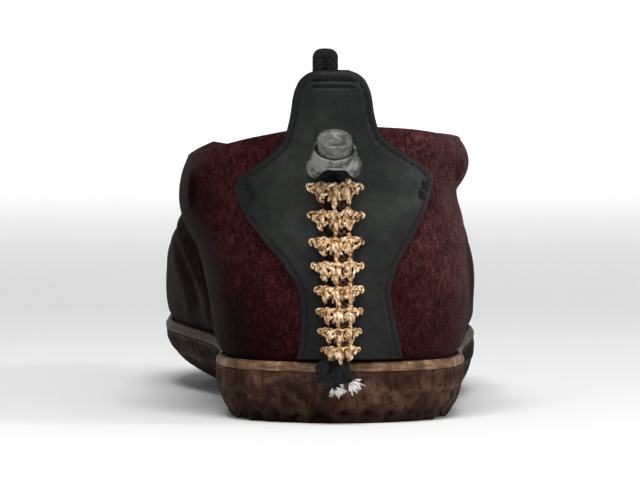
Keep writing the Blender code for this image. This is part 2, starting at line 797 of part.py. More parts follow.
def lacing(wall, parts, finish):
    """The rows of lace over the two strands, smaller towards the foot."""
    on_patch = PATCH_GAP + PATCH_THICKNESS + GAP
    low = on_patch + LACE_DIAMETER / 2
    high = on_patch + CORD_DIAMETER + GAP + LACE_DIAMETER / 2
    for row in range(LACE_ROWS):
        share = row / (LACE_ROWS - 1)
        height = lace_height(share)
        half = LACE_HALF_TOP + (LACE_HALF_FOOT - LACE_HALF_TOP) * share**1.5
        points = []
        for across, drop, lift in zip(*(LACE_ROW[c] for c in ("across", "drop", "lift"))):
            z = height + drop * LACE_ROW_HEIGHT * half / LACE_HALF_TOP
            x = float(lace_x(height)) + across * half
            points.append(wall.at(x, z, low + (high - low) * lift))
        path = through(shift(np.array(points)), LACE_POINTS)
        tube(f"lace_bar_{row + 1}", path, LACE_DIAMETER, parts, finish, 1)


def lock_seat(wall):
    """The middle of the lock's foot and the direction of its axis."""
    axis = np.array((0.0, -math.sin(LOCK_TILT), math.cos(LOCK_TILT)))
    touch = wall.at(LOCK_X, LOCK_SEAT, PATCH_GAP + PATCH_THICKNESS + GAP)
    towards = np.array((0.0, math.cos(LOCK_TILT), math.sin(LOCK_TILT)))
    foot = touch - towards * LOCK_FOOT_RADIUS
    foot[0] = LOCK_X
    return shift(foot), axis


def draw_cord(wall, parts, finish):
    """Two strands from inside the lock, under the lacing, to the knot."""
    on_patch = PATCH_GAP + PATCH_THICKNESS + GAP + CORD_DIAMETER / 2
    knot_top = KNOT_Z + KNOT_SIZE[2] / 2 + 3 * GAP
    for name, side in (("draw_cord_medial", -1), ("draw_cord_lateral", 1)):
        points = []
        for drop, lift in zip(STRAND_HEAD["drop"], STRAND_HEAD["lift"]):
            x = LOCK_X + side * CORD_SPACING / 2
            points.append(wall.at(x, LOCK_SEAT - drop, on_patch + lift))
        for height in np.linspace(points[-1][2], knot_top, 9)[1:]:
            x = float(lace_x(height)) + side * CORD_SPACING / 2
            points.append(wall.at(x, height, on_patch))
        path = through(shift(np.array(points)), STRAND_POINTS)
        tube(name, path, CORD_DIAMETER, parts, finish)


def knot_centre():
    """The middle of the knot, just behind the tan band."""
    return np.array((KNOT_X, -HEEL_SETBACK - RIM_PROUD - GAP - KNOT_SIZE[1] / 2, KNOT_Z))


def knot(parts, finish):
    """The knot that joins the two strands, with its two short ends."""
    bpy.ops.mesh.primitive_uv_sphere_add(segments=12, ring_count=7, radius=0.5)
    ball = bpy.context.object
    ball.name = "draw_cord_knot"
    ball.data.name = ball.name
    ball.dimensions = KNOT_SIZE
    bpy.ops.object.transform_apply(location=False, rotation=False, scale=True)
    ball.location = knot_centre()
    for old in list(ball.users_collection):
        old.objects.unlink(ball)
    parts.objects.link(ball)
    dress(ball, finish)
    middle = knot_centre()
    low = -KNOT_SIZE[2] / 2 - GAP
    for name, steps in CORD_ENDS.items():
        points = [middle + np.array((x, 0.0, low + z)) for x, z in steps]
        tube(name, through(points, 6), CORD_DIAMETER, parts, finish)


def turned(name, profile, seat, axis, parts, finish):
    """A closed profile of radius and height turned about a tilted axis."""
    mesh = bpy.data.meshes.new(name)
    loop = [(radius, 0.0, height) for radius, height in profile]
    edges = [(k, (k + 1) % len(loop)) for k in range(len(loop))]
    if profile[0][0] == 0.0:
        edges.pop()
    mesh.from_pydata(loop, edges, [])
    piece = bpy.data.objects.new(name, mesh)
    parts.objects.link(piece)
    spin = piece.modifiers.new("turn", "SCREW")
    spin.steps = ROUND_STEPS
    spin.render_steps = ROUND_STEPS
    spin.merge_threshold = 0.00001
    spin.use_merge_vertices = True
    piece.location = seat
    piece.rotation_euler = (math.atan2(-axis[1], axis[2]), 0.0, 0.0)
    piece.data.materials.append(finish)
    return piece


def cord_lock(wall, parts, body_finish, button_finish):
    """The lock: a bell-shaped body and the button that slides into it."""
    seat, axis = lock_seat(wall)
    bore = BUTTON_RADIUS + BUTTON_CLEARANCE
    body = (
        (bore, LOCK_LENGTH),
        (LOCK_HEAD_RADIUS - 0.0004, LOCK_LENGTH),
        (LOCK_HEAD_RADIUS, LOCK_LENGTH - 0.0005),
        (LOCK_HEAD_RADIUS + 0.0006, 0.55 * LOCK_LENGTH),
        (LOCK_FOOT_RADIUS - 0.0003, 0.22 * LOCK_LENGTH),
        (LOCK_FOOT_RADIUS, 0.12 * LOCK_LENGTH),
        (LOCK_FOOT_RADIUS, 0.0),
        (LOCK_FOOT_RADIUS - LOCK_WALL, 0.0),
        (LOCK_FOOT_RADIUS - LOCK_WALL, 0.18 * LOCK_LENGTH),
        (bore, 0.45 * LOCK_LENGTH),
    )
    turned("cord_lock_body", body, seat, axis, parts, body_finish)
    top = LOCK_LENGTH + BUTTON_STANDS
    low = BUTTON_PRESSED + BUTTON_TRAVEL
    button = (
        (0.0, top - BUTTON_DIMPLE),
        (0.4 * BUTTON_RADIUS, top - 0.7 * BUTTON_DIMPLE),
        (0.7 * BUTTON_RADIUS, top),
        (BUTTON_RADIUS - 0.0005, top),
        (BUTTON_RADIUS, top - 0.0005),
        (BUTTON_RADIUS, low),
        (0.0, low),
    )
    turned("cord_lock_button", button, seat, axis, parts, button_finish)


def pull_loop(wall, parts, finish):
    """The loop of cord on the inside of the tab, over its top edge."""
    inside = -(LOOP_DIAMETER / 2 + GAP) + PATCH_GAP
    radius = LOOP_SPREAD / 2
    crown = LOOP_TOP - LOOP_DIAMETER / 2 - radius
    legs = np.linspace(LOOP_FOOT, crown, 4)
    turns = np.linspace(math.pi, 0.0, LOOP_TURNS)[1:-1]
    points = [wall.at(LOOP_X - radius, height, inside) for height in legs]
    for turn in turns:
        across = LOOP_X + radius * math.cos(turn)
        points.append(wall.at(across, crown + radius * math.sin(turn), inside))
    points += [wall.at(LOOP_X + radius, height, inside) for height in legs[::-1]]
    tube("pull_loop", shift(np.array(points)), LOOP_DIAMETER, parts, finish)


def main():
    """Builds every piece into its collection."""
    for old in list(bpy.data.objects):
        bpy.data.objects.remove(old)
    parts = bpy.data.collections.new("moccasin")
    cutters = bpy.data.collections.new("cutters")
    for group in (parts, cutters):
        bpy.context.scene.collection.children.link(group)
    rubber = material("brown_rubber", (0.085, 0.050, 0.038), 0.55)
    band = material("tan_band", (0.26, 0.14, 0.065), 0.55)
    footbed = material("footbed", (0.030, 0.024, 0.022), 0.90)
    hair = material("burgundy_hair", (0.055, 0.010, 0.014), 0.65)
    leather = material("dark_leather", (0.024, 0.030, 0.026), 0.60)
    lace = material("gold_lace", (0.52, 0.34, 0.12), 0.60)
    cord = material("black_cord", (0.010, 0.010, 0.011), 0.75)
    grey = material("lock_grey", (0.115, 0.115, 0.108), 0.50)
    dark_grey = material("button_grey", (0.090, 0.090, 0.085), 0.50)
    outsole(parts, cutters, rubber)
    rim(parts, band)
    insole(parts, footbed)
    upper(parts, hair)
    heel_patch(HeelWall(TUCK), parts, leather)
    wall = HeelWall(0.0)
    lacing(wall, parts, lace)
    draw_cord(wall, parts, cord)
    knot(parts, cord)
    cord_lock(wall, parts, grey, dark_grey)
    pull_loop(wall, parts, cord)


main()
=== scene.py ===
"""Dresses the slip-on moccasin: finishes, folds, nap, stitches, lacing, light and camera.

Metres, in the part's frame: +Z up, +Y to the toe, +X to the outer side, origin under the
heel. The main forms come from the same functions as the part's solids, on finer grids.
"""

import math

import bpy
import numpy as np
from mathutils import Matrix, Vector, noise


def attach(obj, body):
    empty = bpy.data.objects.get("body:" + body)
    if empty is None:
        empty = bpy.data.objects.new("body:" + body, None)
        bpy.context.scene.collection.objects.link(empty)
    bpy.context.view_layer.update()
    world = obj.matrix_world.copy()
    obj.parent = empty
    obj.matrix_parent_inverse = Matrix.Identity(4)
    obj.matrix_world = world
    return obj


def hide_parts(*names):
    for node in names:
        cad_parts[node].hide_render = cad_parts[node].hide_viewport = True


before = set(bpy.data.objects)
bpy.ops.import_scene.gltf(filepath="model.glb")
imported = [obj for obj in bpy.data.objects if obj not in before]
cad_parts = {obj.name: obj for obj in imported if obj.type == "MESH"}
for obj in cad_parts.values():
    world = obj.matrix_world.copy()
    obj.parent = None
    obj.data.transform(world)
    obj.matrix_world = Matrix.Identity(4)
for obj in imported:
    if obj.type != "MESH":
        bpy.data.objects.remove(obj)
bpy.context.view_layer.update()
SHOE = "shoe"
BUTTON = "lock_button"
MM = 0.001

# Main sizes
LENGTH = 0.284
BALL_WIDTH = 0.1016
HEEL_SETBACK = 0.038
GAP = 0.0003

# Sole
SOLE_HEIGHT_HEEL = 0.0164
SOLE_HEIGHT_BALL = 0.0186
TOE_SPRING = 0.012
TOE_SPRING_FROM = 0.70
ARCH_RISE = 0.0034
ARCH_AT = 0.40
ARCH_REACH = 0.13
HEEL_SIDE_TO = 0.25
FOREFOOT_SIDE_FROM = 0.55
FACET_DEPTH = 0.0014
FACETS_DEEPER = 1.75
FACET_FOOT = 0.12
FACET_HEAD = 0.52
FACET_STEP = 0.62
FACET_COLUMNS = 148
GROOVE_WIDTH = 0.0042
GROOVE_DEPTH = 0.0024
GROOVE_BOW = 0.010

# Band, insole and upper
RIM_HEIGHT = 0.0029
RIM_WIDTH = 0.0025
RIM_PROUD = 0.0003
INSOLE_THICKNESS = 0.0036
INSOLE_CUP = 0.0022
WALL = 0.0022
TUCK = 0.0028
TUCK_HEIGHT = 0.0022
INSTEP_HEIGHT = 0.080
COLLAR_BACK_HEIGHT = 0.0925
COLLAR_BACK = 0.007
COLLAR_FRONT = 0.119
COLLAR_HALF_WIDTH = 0.0420
COLLAR_SHIFT = -0.0040
COLLAR_SQUARENESS = 2.3
COLLAR_INNER_DROP = 0.0102
COLLAR_OUTER_DROP = 0.0046
ROLL_HEIGHT = 0.0150
ROLL_PROUD = 0.0039
ROLL_INNER_SPREAD = 1.9
PINCH_DEPTH = 0.0012
ROLL_CLEAR = 0.0030
ROLL_FADE = 0.0080
HEEL_REACHES = 0.14
RIM_ROUND = 0.0016
HEEL_CROWDING = 0.32
FOOT_CROWDING = 1.45

# Heel patch and its pull tab
PATCH_GAP = 0.0004
PATCH_THICKNESS = 0.0020
PATCH_FOOT = SOLE_HEIGHT_HEEL + RIM_HEIGHT + 0.0013
TAB_TOP = COLLAR_BACK_HEIGHT + 0.0195
TAB_LEAVES = COLLAR_BACK_HEIGHT - 0.0085
TAB_FREE = COLLAR_BACK_HEIGHT + 0.0005
TAB_RADIUS = 0.060
TAB_LEAN = -0.0010
SPINE_FOOT_X = 0.0018
SPINE_TOP_X = -0.0036
SPINE_SETTLES = 0.60
WING_SKEW = 0.0013
WING_AT = 0.72
WING_REACH = 0.14

# Lacing, cords and knot
LACE_ROWS = 8
LACE_TOP = COLLAR_BACK_HEIGHT - 0.0192
LACE_FOOT = PATCH_FOOT + 0.0022
LACE_CROWDING = 0.25
LACE_HALF_TOP = 0.0089
LACE_HALF_FOOT = 0.0060
LACE_X_TOP = -0.0029
LACE_X_FOOT = -0.0014
CORD_DIAMETER = 0.0028
CORD_SPACING = 0.0033
KNOT_SIZE = (0.0115, 0.0066, 0.0062)
KNOT_X = -0.0039
KNOT_Z = SOLE_HEIGHT_HEEL - 0.0002

# Cord lock and pull loop
LOCK_X = -0.0036
LOCK_TILT = math.radians(32.0)
LOCK_SEAT = COLLAR_BACK_HEIGHT - 0.0067
LOCK_LENGTH = 0.0074
LOCK_FOOT_RADIUS = 0.0089
LOCK_HEAD_RADIUS = 0.0070
LOCK_WALL = 0.0013
BUTTON_RADIUS = 0.0055
BUTTON_CLEARANCE = 0.0004
BUTTON_STANDS = 0.0043
BUTTON_TRAVEL = 0.0025
BUTTON_PRESSED = 0.0015
BUTTON_DIMPLE = 0.0009
BUTTON_CLEARS_CORDS = 0.0008
LOOP_DIAMETER = 0.0040
LOOP_TOP = TAB_TOP + 0.0066
LOOP_FOOT = TAB_TOP - 0.0120
LOOP_X = -0.0060
LOOP_SQUARENESS = 0.36

# Fineness of the grids
SHELL_COLUMNS = 400
SHELL_BODY_ROWS = 84
SHELL_ROLL_ROWS = 26
LINING_BODY_ROWS = 28
SOLE_STEPS = 6
SOLE_ROWS = 34
UNDER_RINGS = 22
PATCH_ROWS = 170
PATCH_ACROSS = 74


def table(columns, rows):
    """Named columns of a short table."""
    return dict(zip(columns.split(), np.array(rows, dtype=float).T))


# Sole outline: along in shares of LENGTH, across in shares of BALL_WIDTH
OUTLINE = table("along across", (
    (0.000, 0.000),
    (0.018, -0.190),
    (0.070, -0.330),
    (0.150, -0.381),
    (0.250, -0.368),
    (0.360, -0.352),
    (0.470, -0.388),
    (0.580, -0.455),
    (0.690, -0.500),
    (0.790, -0.492),
    (0.880, -0.436),
    (0.948, -0.335),
    (0.988, -0.205),
    (1.000, -0.080),
    (0.989, 0.045),
    (0.950, 0.175),
    (0.885, 0.310),
    (0.800, 0.415),
    (0.700, 0.484),
    (0.585, 0.503),
    (0.470, 0.470),
    (0.360, 0.428),
    (0.250, 0.406),
    (0.150, 0.393),
    (0.070, 0.332),
    (0.018, 0.190),
))
TOE_ROW = 13

# Side of the sole: height in shares of the side, insets in shares of SOLE_HEIGHT_HEEL
SOLE_SIDE = table("height heel inner outer", (
    (0.00, 0.30, 1.20, 0.50),
    (0.12, 0.22, 0.98, 0.30),
    (0.30, 0.12, 0.62, 0.15),
    (0.52, 0.04, 0.28, 0.06),
    (0.80, 0.01, 0.08, 0.01),
    (1.00, 0.00, 0.00, 0.00),
))

# Meridians: along in shares of LENGTH, landing in shares of the collar from its back to its
# front, rise, flare and reach in shares of INSTEP_HEIGHT, arrive in degrees below the level
MERIDIANS = table("along landing rise inner_flare outer_flare reach arrive", (
    (0.000, 0.0009, 0.36, 0.050, 0.050, 0.28, 86),
    (0.150, 0.3432, 0.36, 0.045, 0.056, 0.28, 86),
    (0.300, 0.6602, 0.36, 0.025, 0.044, 0.28, 78),
    (0.400, 0.7946, 0.37, 0.000, 0.010, 0.31, 62),
    (0.500, 0.8605, 0.36, -0.060, 0.010, 0.36, 46),
    (0.650, 0.9315, 0.34, -0.030, 0.025, 0.58, 27),
    (0.800, 0.9746, 0.33, 0.030, 0.045, 0.92, 20),
    (1.000, 1.0000, 0.33, 0.040, 0.040, 1.12, 17),
))

# Half width of the heel patch: height in shares of TAB_TOP, half in shares of BALL_WIDTH
PATCH_SHAPE = table("height half", (
    (0.184, 0.166),
    (0.270, 0.149),
    (0.366, 0.142),
    (0.440, 0.173),
    (0.518, 0.236),
    (0.600, 0.303),
    (0.674, 0.334),
    (0.715, 0.300),
    (0.750, 0.234),
    (0.785, 0.176),
    (0.815, 0.147),
    (0.870, 0.130),
    (0.928, 0.120),
    (0.966, 0.104),
    (0.988, 0.080),
    (1.000, 0.048),
))

# Heads of the two strands: drop below the lock's seat and lift off the patch
STRAND_HEAD = table("drop lift", (
    (0.0022, 0.0034),
    (0.0046, 0.0018),
    (0.0070, 0.0004),
    (0.0123, 0.0000),
))

GROOVES_ALONG = (0.075, 0.185, 0.245, 0.545, 0.610, 0.740, 0.805, 0.870)
HEEL_NOTCHES_ACROSS = (-0.165, 0.285)

# Camera: the photograph's place and direction, seen closer
PHOTO_TURN = math.radians(1.3)
PHOTO_DISTANCE = 2.5
PHOTO_ASIDE = 0.061
PHOTO_HEIGHT = 0.174
PHOTO_FOCAL_PIXELS = 3525
PHOTO_WIDTH_PIXELS = 640
AIM_RIGHT_PIXELS = 75.0
AIM_DOWN_PIXELS = 163.0
CLOSER = 2.25
SENSOR_MM = 36.0

# Places on the band's map between which it pales, up its outer face
BAND_FOOT_V = 0.0075
BAND_TOP_V = 0.0185


# The part's own shape functions

def smooth(at, xs, ys):
    """A smooth curve through the rows of a table, without overshoot."""
    at = np.clip(at, xs[0], xs[-1])
    steps = np.diff(xs)
    rises = np.diff(ys) / steps
    slopes = np.zeros(len(xs))
    same = rises[:-1] * rises[1:] > 0
    before = np.where(same, rises[:-1], 1.0)
    after = np.where(same, rises[1:], 1.0)
    slopes[1:-1] = np.where(same, 2.0 / (1.0 / before + 1.0 / after), 0.0)
    slopes[0] = rises[0]
    slopes[-1] = rises[-1]
    row = np.clip(np.searchsorted(xs, at, side="right") - 1, 0, len(steps) - 1)
    share = (at - xs[row]) / steps[row]
    rest = 1.0 - share
    value = rest * rest * ((1.0 + 2.0 * share) * ys[row] + share * steps[row] * slopes[row])
    far = share * share * ((3.0 - 2.0 * share) * ys[row + 1] - rest * steps[row] * slopes[row + 1])
    return value + far


def look_up(name, at):
    """A column of the meridian table at a share of the length."""
    return smooth(at, MERIDIANS["along"], MERIDIANS[name])


def ease(share):
    """0 to 1 with level ends."""
    share = np.clip(share, 0.0, 1.0)
    return share * share * (3.0 - 2.0 * share)


def hump(value, middle, width):
    """A soft rise to 1 at a middle value."""
    return np.exp(-(((value - middle) / width) ** 2))


def run_along(points, closed=False):
    """Distance along a path at each of its points, and at its start again if closed."""
    if closed:
        points = np.vstack((points, points[:1]))
    steps = np.linalg.norm(np.diff(points, axis=0), axis=1)
    return np.concatenate(([0.0], np.cumsum(steps)))


def evenly(points, count, crowding=0.0):
    """The same path with even spacing, or with points crowded towards its start."""
    run = run_along(points)
    share = np.linspace(0.0, 1.0, count)
    marks = run[-1] * (share - crowding / math.pi * np.sin(math.pi * share))
    return np.column_stack([np.interp(marks, run, points[:, k]) for k in range(points.shape[1])])


def through(points, count):
    """Evenly spaced points on a smooth open curve through the given points."""
    points = np.array(points, dtype=float)
    ends = np.vstack((2 * points[0] - points[1], points, 2 * points[-1] - points[-2]))
    dense = []
    for row in range(len(points) - 1):
        a, b, c, d = ends[row:row + 4]
        for share in np.linspace(0.0, 1.0, 12, endpoint=row == len(points) - 2):
            bend = (2 * a - 5 * b + 4 * c - d) * share**2 + (3 * b - a - 3 * c + d) * share**3
            dense.append(0.5 * (2 * b + (c - a) * share + bend))
    return evenly(np.array(dense), count)


def level_normals(loop):
    """Outward level directions of a closed loop that starts at the heel's back."""
    along = np.roll(loop, -1, axis=0) - np.roll(loop, 1, axis=0)
    along /= np.linalg.norm(along, axis=1)[:, None]
    return np.column_stack((-along[:, 1], along[:, 0]))


def sole_outline(count, crowding=0.0):
    """x and distance from the heel's back, spaced alike along each side."""
    rows = np.column_stack((OUTLINE["across"] * BALL_WIDTH, OUTLINE["along"] * LENGTH))
    wrapped = np.vstack((rows[-2:], rows, rows[:3]))
    spans = len(wrapped) - 1
    dense = through(wrapped, spans * 40 + 1)
    back = np.argmin(np.hypot(*(dense[:spans * 20] - rows[0]).T))
    toe = np.argmin(np.hypot(*(dense - rows[TOE_ROW]).T))
    again = spans * 20 + np.argmin(np.hypot(*(dense[spans * 20:] - rows[0]).T))
    inner = evenly(dense[back:toe + 1], count // 2 + 1, crowding)
    outer = evenly(dense[toe:again + 1][::-1], count // 2 + 1, crowding)[::-1]
    return np.vstack((inner[:-1], outer[:-1]))


def ground(share):
    """Height of the sole's underside at a share of the length."""
    arch = ARCH_RISE * np.cos(np.clip((share - ARCH_AT) / ARCH_REACH, -1, 1) * math.pi / 2) ** 2
    spring = np.clip((share - TOE_SPRING_FROM) / (1.0 - TOE_SPRING_FROM), 0.0, None)
    return arch + TOE_SPRING * spring**2


def deck(share):
    """Height of the outsole's top at a share of the length."""
    grows = ease((share - 0.20) / 0.45) * (SOLE_HEIGHT_BALL - SOLE_HEIGHT_HEEL)
    spring = np.clip((share - TOE_SPRING_FROM) / (1.0 - TOE_SPRING_FROM), 0.0, None)
    return SOLE_HEIGHT_HEEL + grows + 0.9 * TOE_SPRING * spring**2


def side_inset(height, outline):
    """How far the sole's side stands in from the outline."""
    heel, inner, outer = (
        smooth(height, SOLE_SIDE["height"], SOLE_SIDE[name]) for name in ("heel", "inner", "outer")
    )
    forefoot = inner + (outer - inner) * ease(outline[:, 0] / BALL_WIDTH + 0.5)
    front = ease((outline[:, 1] / LENGTH - HEEL_SIDE_TO) / (FOREFOOT_SIDE_FROM - HEEL_SIDE_TO))
    return (heel + (forefoot - heel) * front) * SOLE_HEIGHT_HEEL


def collar_loop(landing, inner_side):
    """Points of the collar at shares of its reach, with their level outward directions."""
    reach = 0.5 * (COLLAR_FRONT - COLLAR_BACK)
    cosine = 1.0 - 2.0 * landing
    squeezed = np.sign(cosine) * np.abs(cosine) ** (COLLAR_SQUARENESS / 2)
    turn = np.arccos(squeezed)
    side = np.where(inner_side, -1.0, 1.0)
    wide = COLLAR_HALF_WIDTH * np.sin(turn) ** (2 / COLLAR_SQUARENESS)
    centred = COLLAR_SHIFT * ease(4.0 * landing)
    x = side * wide + centred
    falls = COLLAR_BACK_HEIGHT - INSTEP_HEIGHT
    drop = np.where(inner_side, COLLAR_INNER_DROP, COLLAR_OUTER_DROP)
    sides = drop * np.sin(turn) ** 2
    front = falls * ease((turn / math.pi - 0.45) / 0.55)
    z = COLLAR_BACK_HEIGHT - np.maximum(sides, front) - 0.35 * np.minimum(sides, front)
    lean = 1.0 / COLLAR_HALF_WIDTH
    out = np.column_stack((side * np.sin(turn) * lean, -np.cos(turn) / reach))
    out /= np.linalg.norm(out, axis=1)[:, None]
    return np.column_stack((x, COLLAR_BACK + 2.0 * reach * landing, z)), out


def meridians(count, samples=60, tuck_depth=TUCK):
    """Dense points of the upper's base surface, count meridians of samples points."""
    outline = sole_outline(count, HEEL_CROWDING)
    normals = level_normals(outline)
    share = outline[:, 1] / LENGTH
    inner_side = np.arange(count) <= count // 2
    foot = np.column_stack((outline, deck(share) + RIM_HEIGHT + 2 * GAP))
    level = np.column_stack((normals, np.zeros(count)))
    up = np.array((0.0, 0.0, 1.0))
    rise = look_up("rise", share)[:, None] * INSTEP_HEIGHT
    flare = np.where(inner_side, look_up("inner_flare", share), look_up("outer_flare", share))
    flare = flare[:, None] * INSTEP_HEIGHT
    reach = look_up("reach", share)[:, None] * INSTEP_HEIGHT
    arrive = np.radians(look_up("arrive", share))[:, None]
    head, out = collar_loop(look_up("landing", share), inner_side)
    out = np.column_stack((out, np.zeros(count)))
    near = foot + up * rise + level * flare
    far = head + reach * (out * np.cos(arrive) - up * np.sin(arrive))
    t = np.linspace(0.0, 1.0, samples)[None, :, None]
    s = 1.0 - t
    curve = s**3 * foot[:, None] + 3 * s * s * t * near[:, None]
    curve = curve + 3 * s * t * t * far[:, None] + t**3 * head[:, None]
    above = np.clip(curve[:, :, 2] - foot[:, None, 2], 0.0, None)
    tuck = tuck_depth * np.exp(-above / TUCK_HEIGHT)
    return curve - level[:, None] * tuck[:, :, None]


def base_surface(count, body_rows, roll_rows):
    """The upper's base surface as a grid, its outward normals and distances to the collar."""
    dense = meridians(count, 120)
    rows = []
    for meridian in dense:
        run = run_along(meridian)
        body = np.linspace(0.0, 1.0, body_rows + 1) ** FOOT_CROWDING * (run[-1] - ROLL_HEIGHT)
        roll = run[-1] - ROLL_HEIGHT * (1.0 - np.arange(1, roll_rows + 1) / roll_rows)
        marks = np.concatenate((body, roll))
        point = [np.interp(marks, run, meridian[:, k]) for k in range(3)]
        rows.append(np.column_stack((*point, run[-1] - marks)))
    grid = np.array(rows)
    to_collar = grid[:, :, 3]
    grid = grid[:, :, :3]
    around = np.roll(grid, -1, axis=0) - np.roll(grid, 1, axis=0)
    upward = np.gradient(grid, axis=1)
    normals = np.cross(upward, around)
    normals /= np.linalg.norm(normals, axis=2)[:, :, None]
    return grid, normals, to_collar


def spine(height):
    """x of the patch's middle line at a height."""
    share = (height - PATCH_FOOT) / (TAB_TOP - PATCH_FOOT)
    return SPINE_FOOT_X + (SPINE_TOP_X - SPINE_FOOT_X) * ease(share / SPINE_SETTLES)


def patch_half(height, side):
    """Half width of the heel patch at a height, along its surface: the outer wing is higher."""
    skew = WING_SKEW * hump(height / TAB_TOP, WING_AT, WING_REACH)
    level = (height - side * skew) / TAB_TOP
    return BALL_WIDTH * smooth(level, PATCH_SHAPE["height"], PATCH_SHAPE["half"])


def clear_of_patch(grid, gap, fade):
    """0 at the heel patch and as far as a gap beside it, rising to 1 past it."""
    aside = grid[:, :, 0] - spine(grid[:, :, 2])
    beside = np.abs(aside) - patch_half(grid[:, :, 2], np.sign(aside))
    return np.where(grid[:, :, 1] < HEEL_REACHES * LENGTH, ease((beside - gap) / fade), 1.0)


def relief(grid, to_collar):
    """How far the outer face stands out from the base surface."""
    outer_side = ease(grid[:, :, 0] / BALL_WIDTH + 0.5)
    spread = ROLL_INNER_SPREAD + (1.0 - ROLL_INNER_SPREAD) * outer_side
    q = to_collar / (ROLL_HEIGHT * spread)
    bulge = ROLL_PROUD * np.sin(np.clip(0.12 + 0.88 * q, 0.0, 1.0) * math.pi) ** 0.8
    pinch = -PINCH_DEPTH * outer_side * hump(q, 1.15, 0.35)
    return (bulge + pinch) * clear_of_patch(grid, ROLL_CLEAR, ROLL_FADE)


def shift(grid):
    """Moves points from distances along the shoe to the part's frame."""
    return grid - np.array((0.0, HEEL_SETBACK, 0.0))


class HeelWall:
    """The back of the upper by distance across and height, for what lies on it."""

    def __init__(self, tuck_depth):
        count = 288
        grid = meridians(count, 90, tuck_depth)
        reach = count // 9
        self.columns = np.roll(grid, reach, axis=0)[:2 * reach + 1][::-1]
        self.known = {}

    def section(self, height):
        """The wall's level section at one height, with the run along it."""
        level = min(height, COLLAR_BACK_HEIGHT - ROLL_HEIGHT / 3)
        key = round(level, 6)
        if key not in self.known:
            points = []
            for column in self.columns:
                there = min(level, column[-1, 2])
                points.append([np.interp(there, column[:, 2], column[:, k]) for k in range(2)])
            line = np.array(points)
            run = run_along(line)
            behind = slice(len(line) // 4, -len(line) // 4)
            self.known[key] = (line, run, np.interp(0.0, line[behind, 0], run[behind]))
        return self.known[key]

    def place(self, across, height, lift):
        """Points at distances across from x = 0, lifted off the wall."""
        line, run, start = self.section(height)
        mark = start + np.asarray(across, dtype=float)
        x = np.interp(mark, run, line[:, 0])
        y = np.interp(mark, run, line[:, 1])
        dx = np.interp(mark + MM, run, line[:, 0]) - np.interp(mark - MM, run, line[:, 0])
        dy = np.interp(mark + MM, run, line[:, 1]) - np.interp(mark - MM, run, line[:, 1])
        size = np.hypot(dx, dy)
        z = np.full_like(x, height)
        return np.stack((x + lift * dy / size, y - lift * dx / size, z), axis=-1)

    def leaf(self, across, height, lift):
        """The same on the free tab, which flattens as it rises past the collar."""
        root = self.place(0.0, COLLAR_BACK_HEIGHT, 0.0)
        back = root[1] + TAB_LEAN * ease((height - TAB_FREE) / (TAB_TOP - TAB_FREE))
        bend = np.arcsin(np.clip(np.asarray(across, dtype=float) / TAB_RADIUS, -1.0, 1.0))
        x = (TAB_RADIUS + lift) * np.sin(bend)
        y = back + TAB_RADIUS - (TAB_RADIUS + lift) * np.cos(bend)
        return np.stack((x, y, np.full_like(x, height)), axis=-1)

    def at(self, across, height, lift):
        """On the wall below the collar, on the tab above it, and smoothly between."""
        blend = float(ease((height - TAB_LEAVES) / (TAB_FREE - TAB_LEAVES)))
        if blend <= 0.0:
            return self.place(across, height, lift)
        free = self.leaf(across, height, lift)
        if blend >= 1.0:
            return free
        return (1.0 - blend) * self.place(across, height, lift) + blend * free


# Making meshes

def uneven(points, size, seed):
    """Smooth random values from -1 to 1 at points, with waves of a given size."""
    flat = np.asarray(points).reshape(-1, 3) / size + seed * 7.31
    values = np.array([noise.noise(Vector(p)) for p in flat])
    return values.reshape(np.shape(points)[:-1])


def piece(name, points, faces, loops, finishes, slots=None):
    """A smooth-shaded mesh object with a texture map in metres."""
    mesh = bpy.data.meshes.new(name)
    mesh.from_pydata(np.asarray(points).tolist(), [], [list(map(int, f)) for f in faces])
    layer = mesh.uv_layers.new(name="run")
    layer.data.foreach_set("uv", np.asarray(loops, dtype=np.float32).ravel())
    for finish in finishes:
        mesh.materials.append(finish)
    if slots is not None:
        mesh.polygons.foreach_set("material_index", np.asarray(slots, dtype=np.int32))
    mesh.shade_smooth()
    thing = bpy.data.objects.new(name, mesh)
    bpy.context.scene.collection.objects.link(thing)
    return thing


def grid_faces(rows, count, wrap_rows=False, wrap_count=True):
    """Quads between rows of count points, and the row and column of each corner."""
    i, k = np.meshgrid(
        np.arange(rows if wrap_rows else rows - 1),
        np.arange(count if wrap_count else count - 1),
        indexing="ij",
    )
    i = i.ravel()
    k = k.ravel()
    rows_at = np.stack((i, i, i + 1, i + 1), axis=1)
    cols_at = np.stack((k, k + 1, k + 1, k), axis=1)
    faces = (rows_at % rows) * count + cols_at % count
    return faces, rows_at, cols_at


def grid_map(rows_at, cols_at, across, along):
    """Texture places of the corners: across by column, along by row."""
    return np.stack((across[cols_at], along[rows_at]), axis=-1)


def frames(path):
    """Tangents and two steady cross directions along a path."""
    tangents = np.gradient(path, axis=0)
    tangents /= np.linalg.norm(tangents, axis=1)[:, None]
    start = np.cross(tangents[0], (0.0, 1.0, 0.0))
    if np.linalg.norm(start) < 0.2:
        start = np.cross(tangents[0], (1.0, 0.0, 0.0))
    sides = [start / np.linalg.norm(start)]
    for tangent in tangents[1:]:
        side = sides[-1] - tangent * np.dot(sides[-1], tangent)
        sides.append(side / np.linalg.norm(side))
    sides = np.array(sides)
    return tangents, sides, np.cross(tangents, sides)


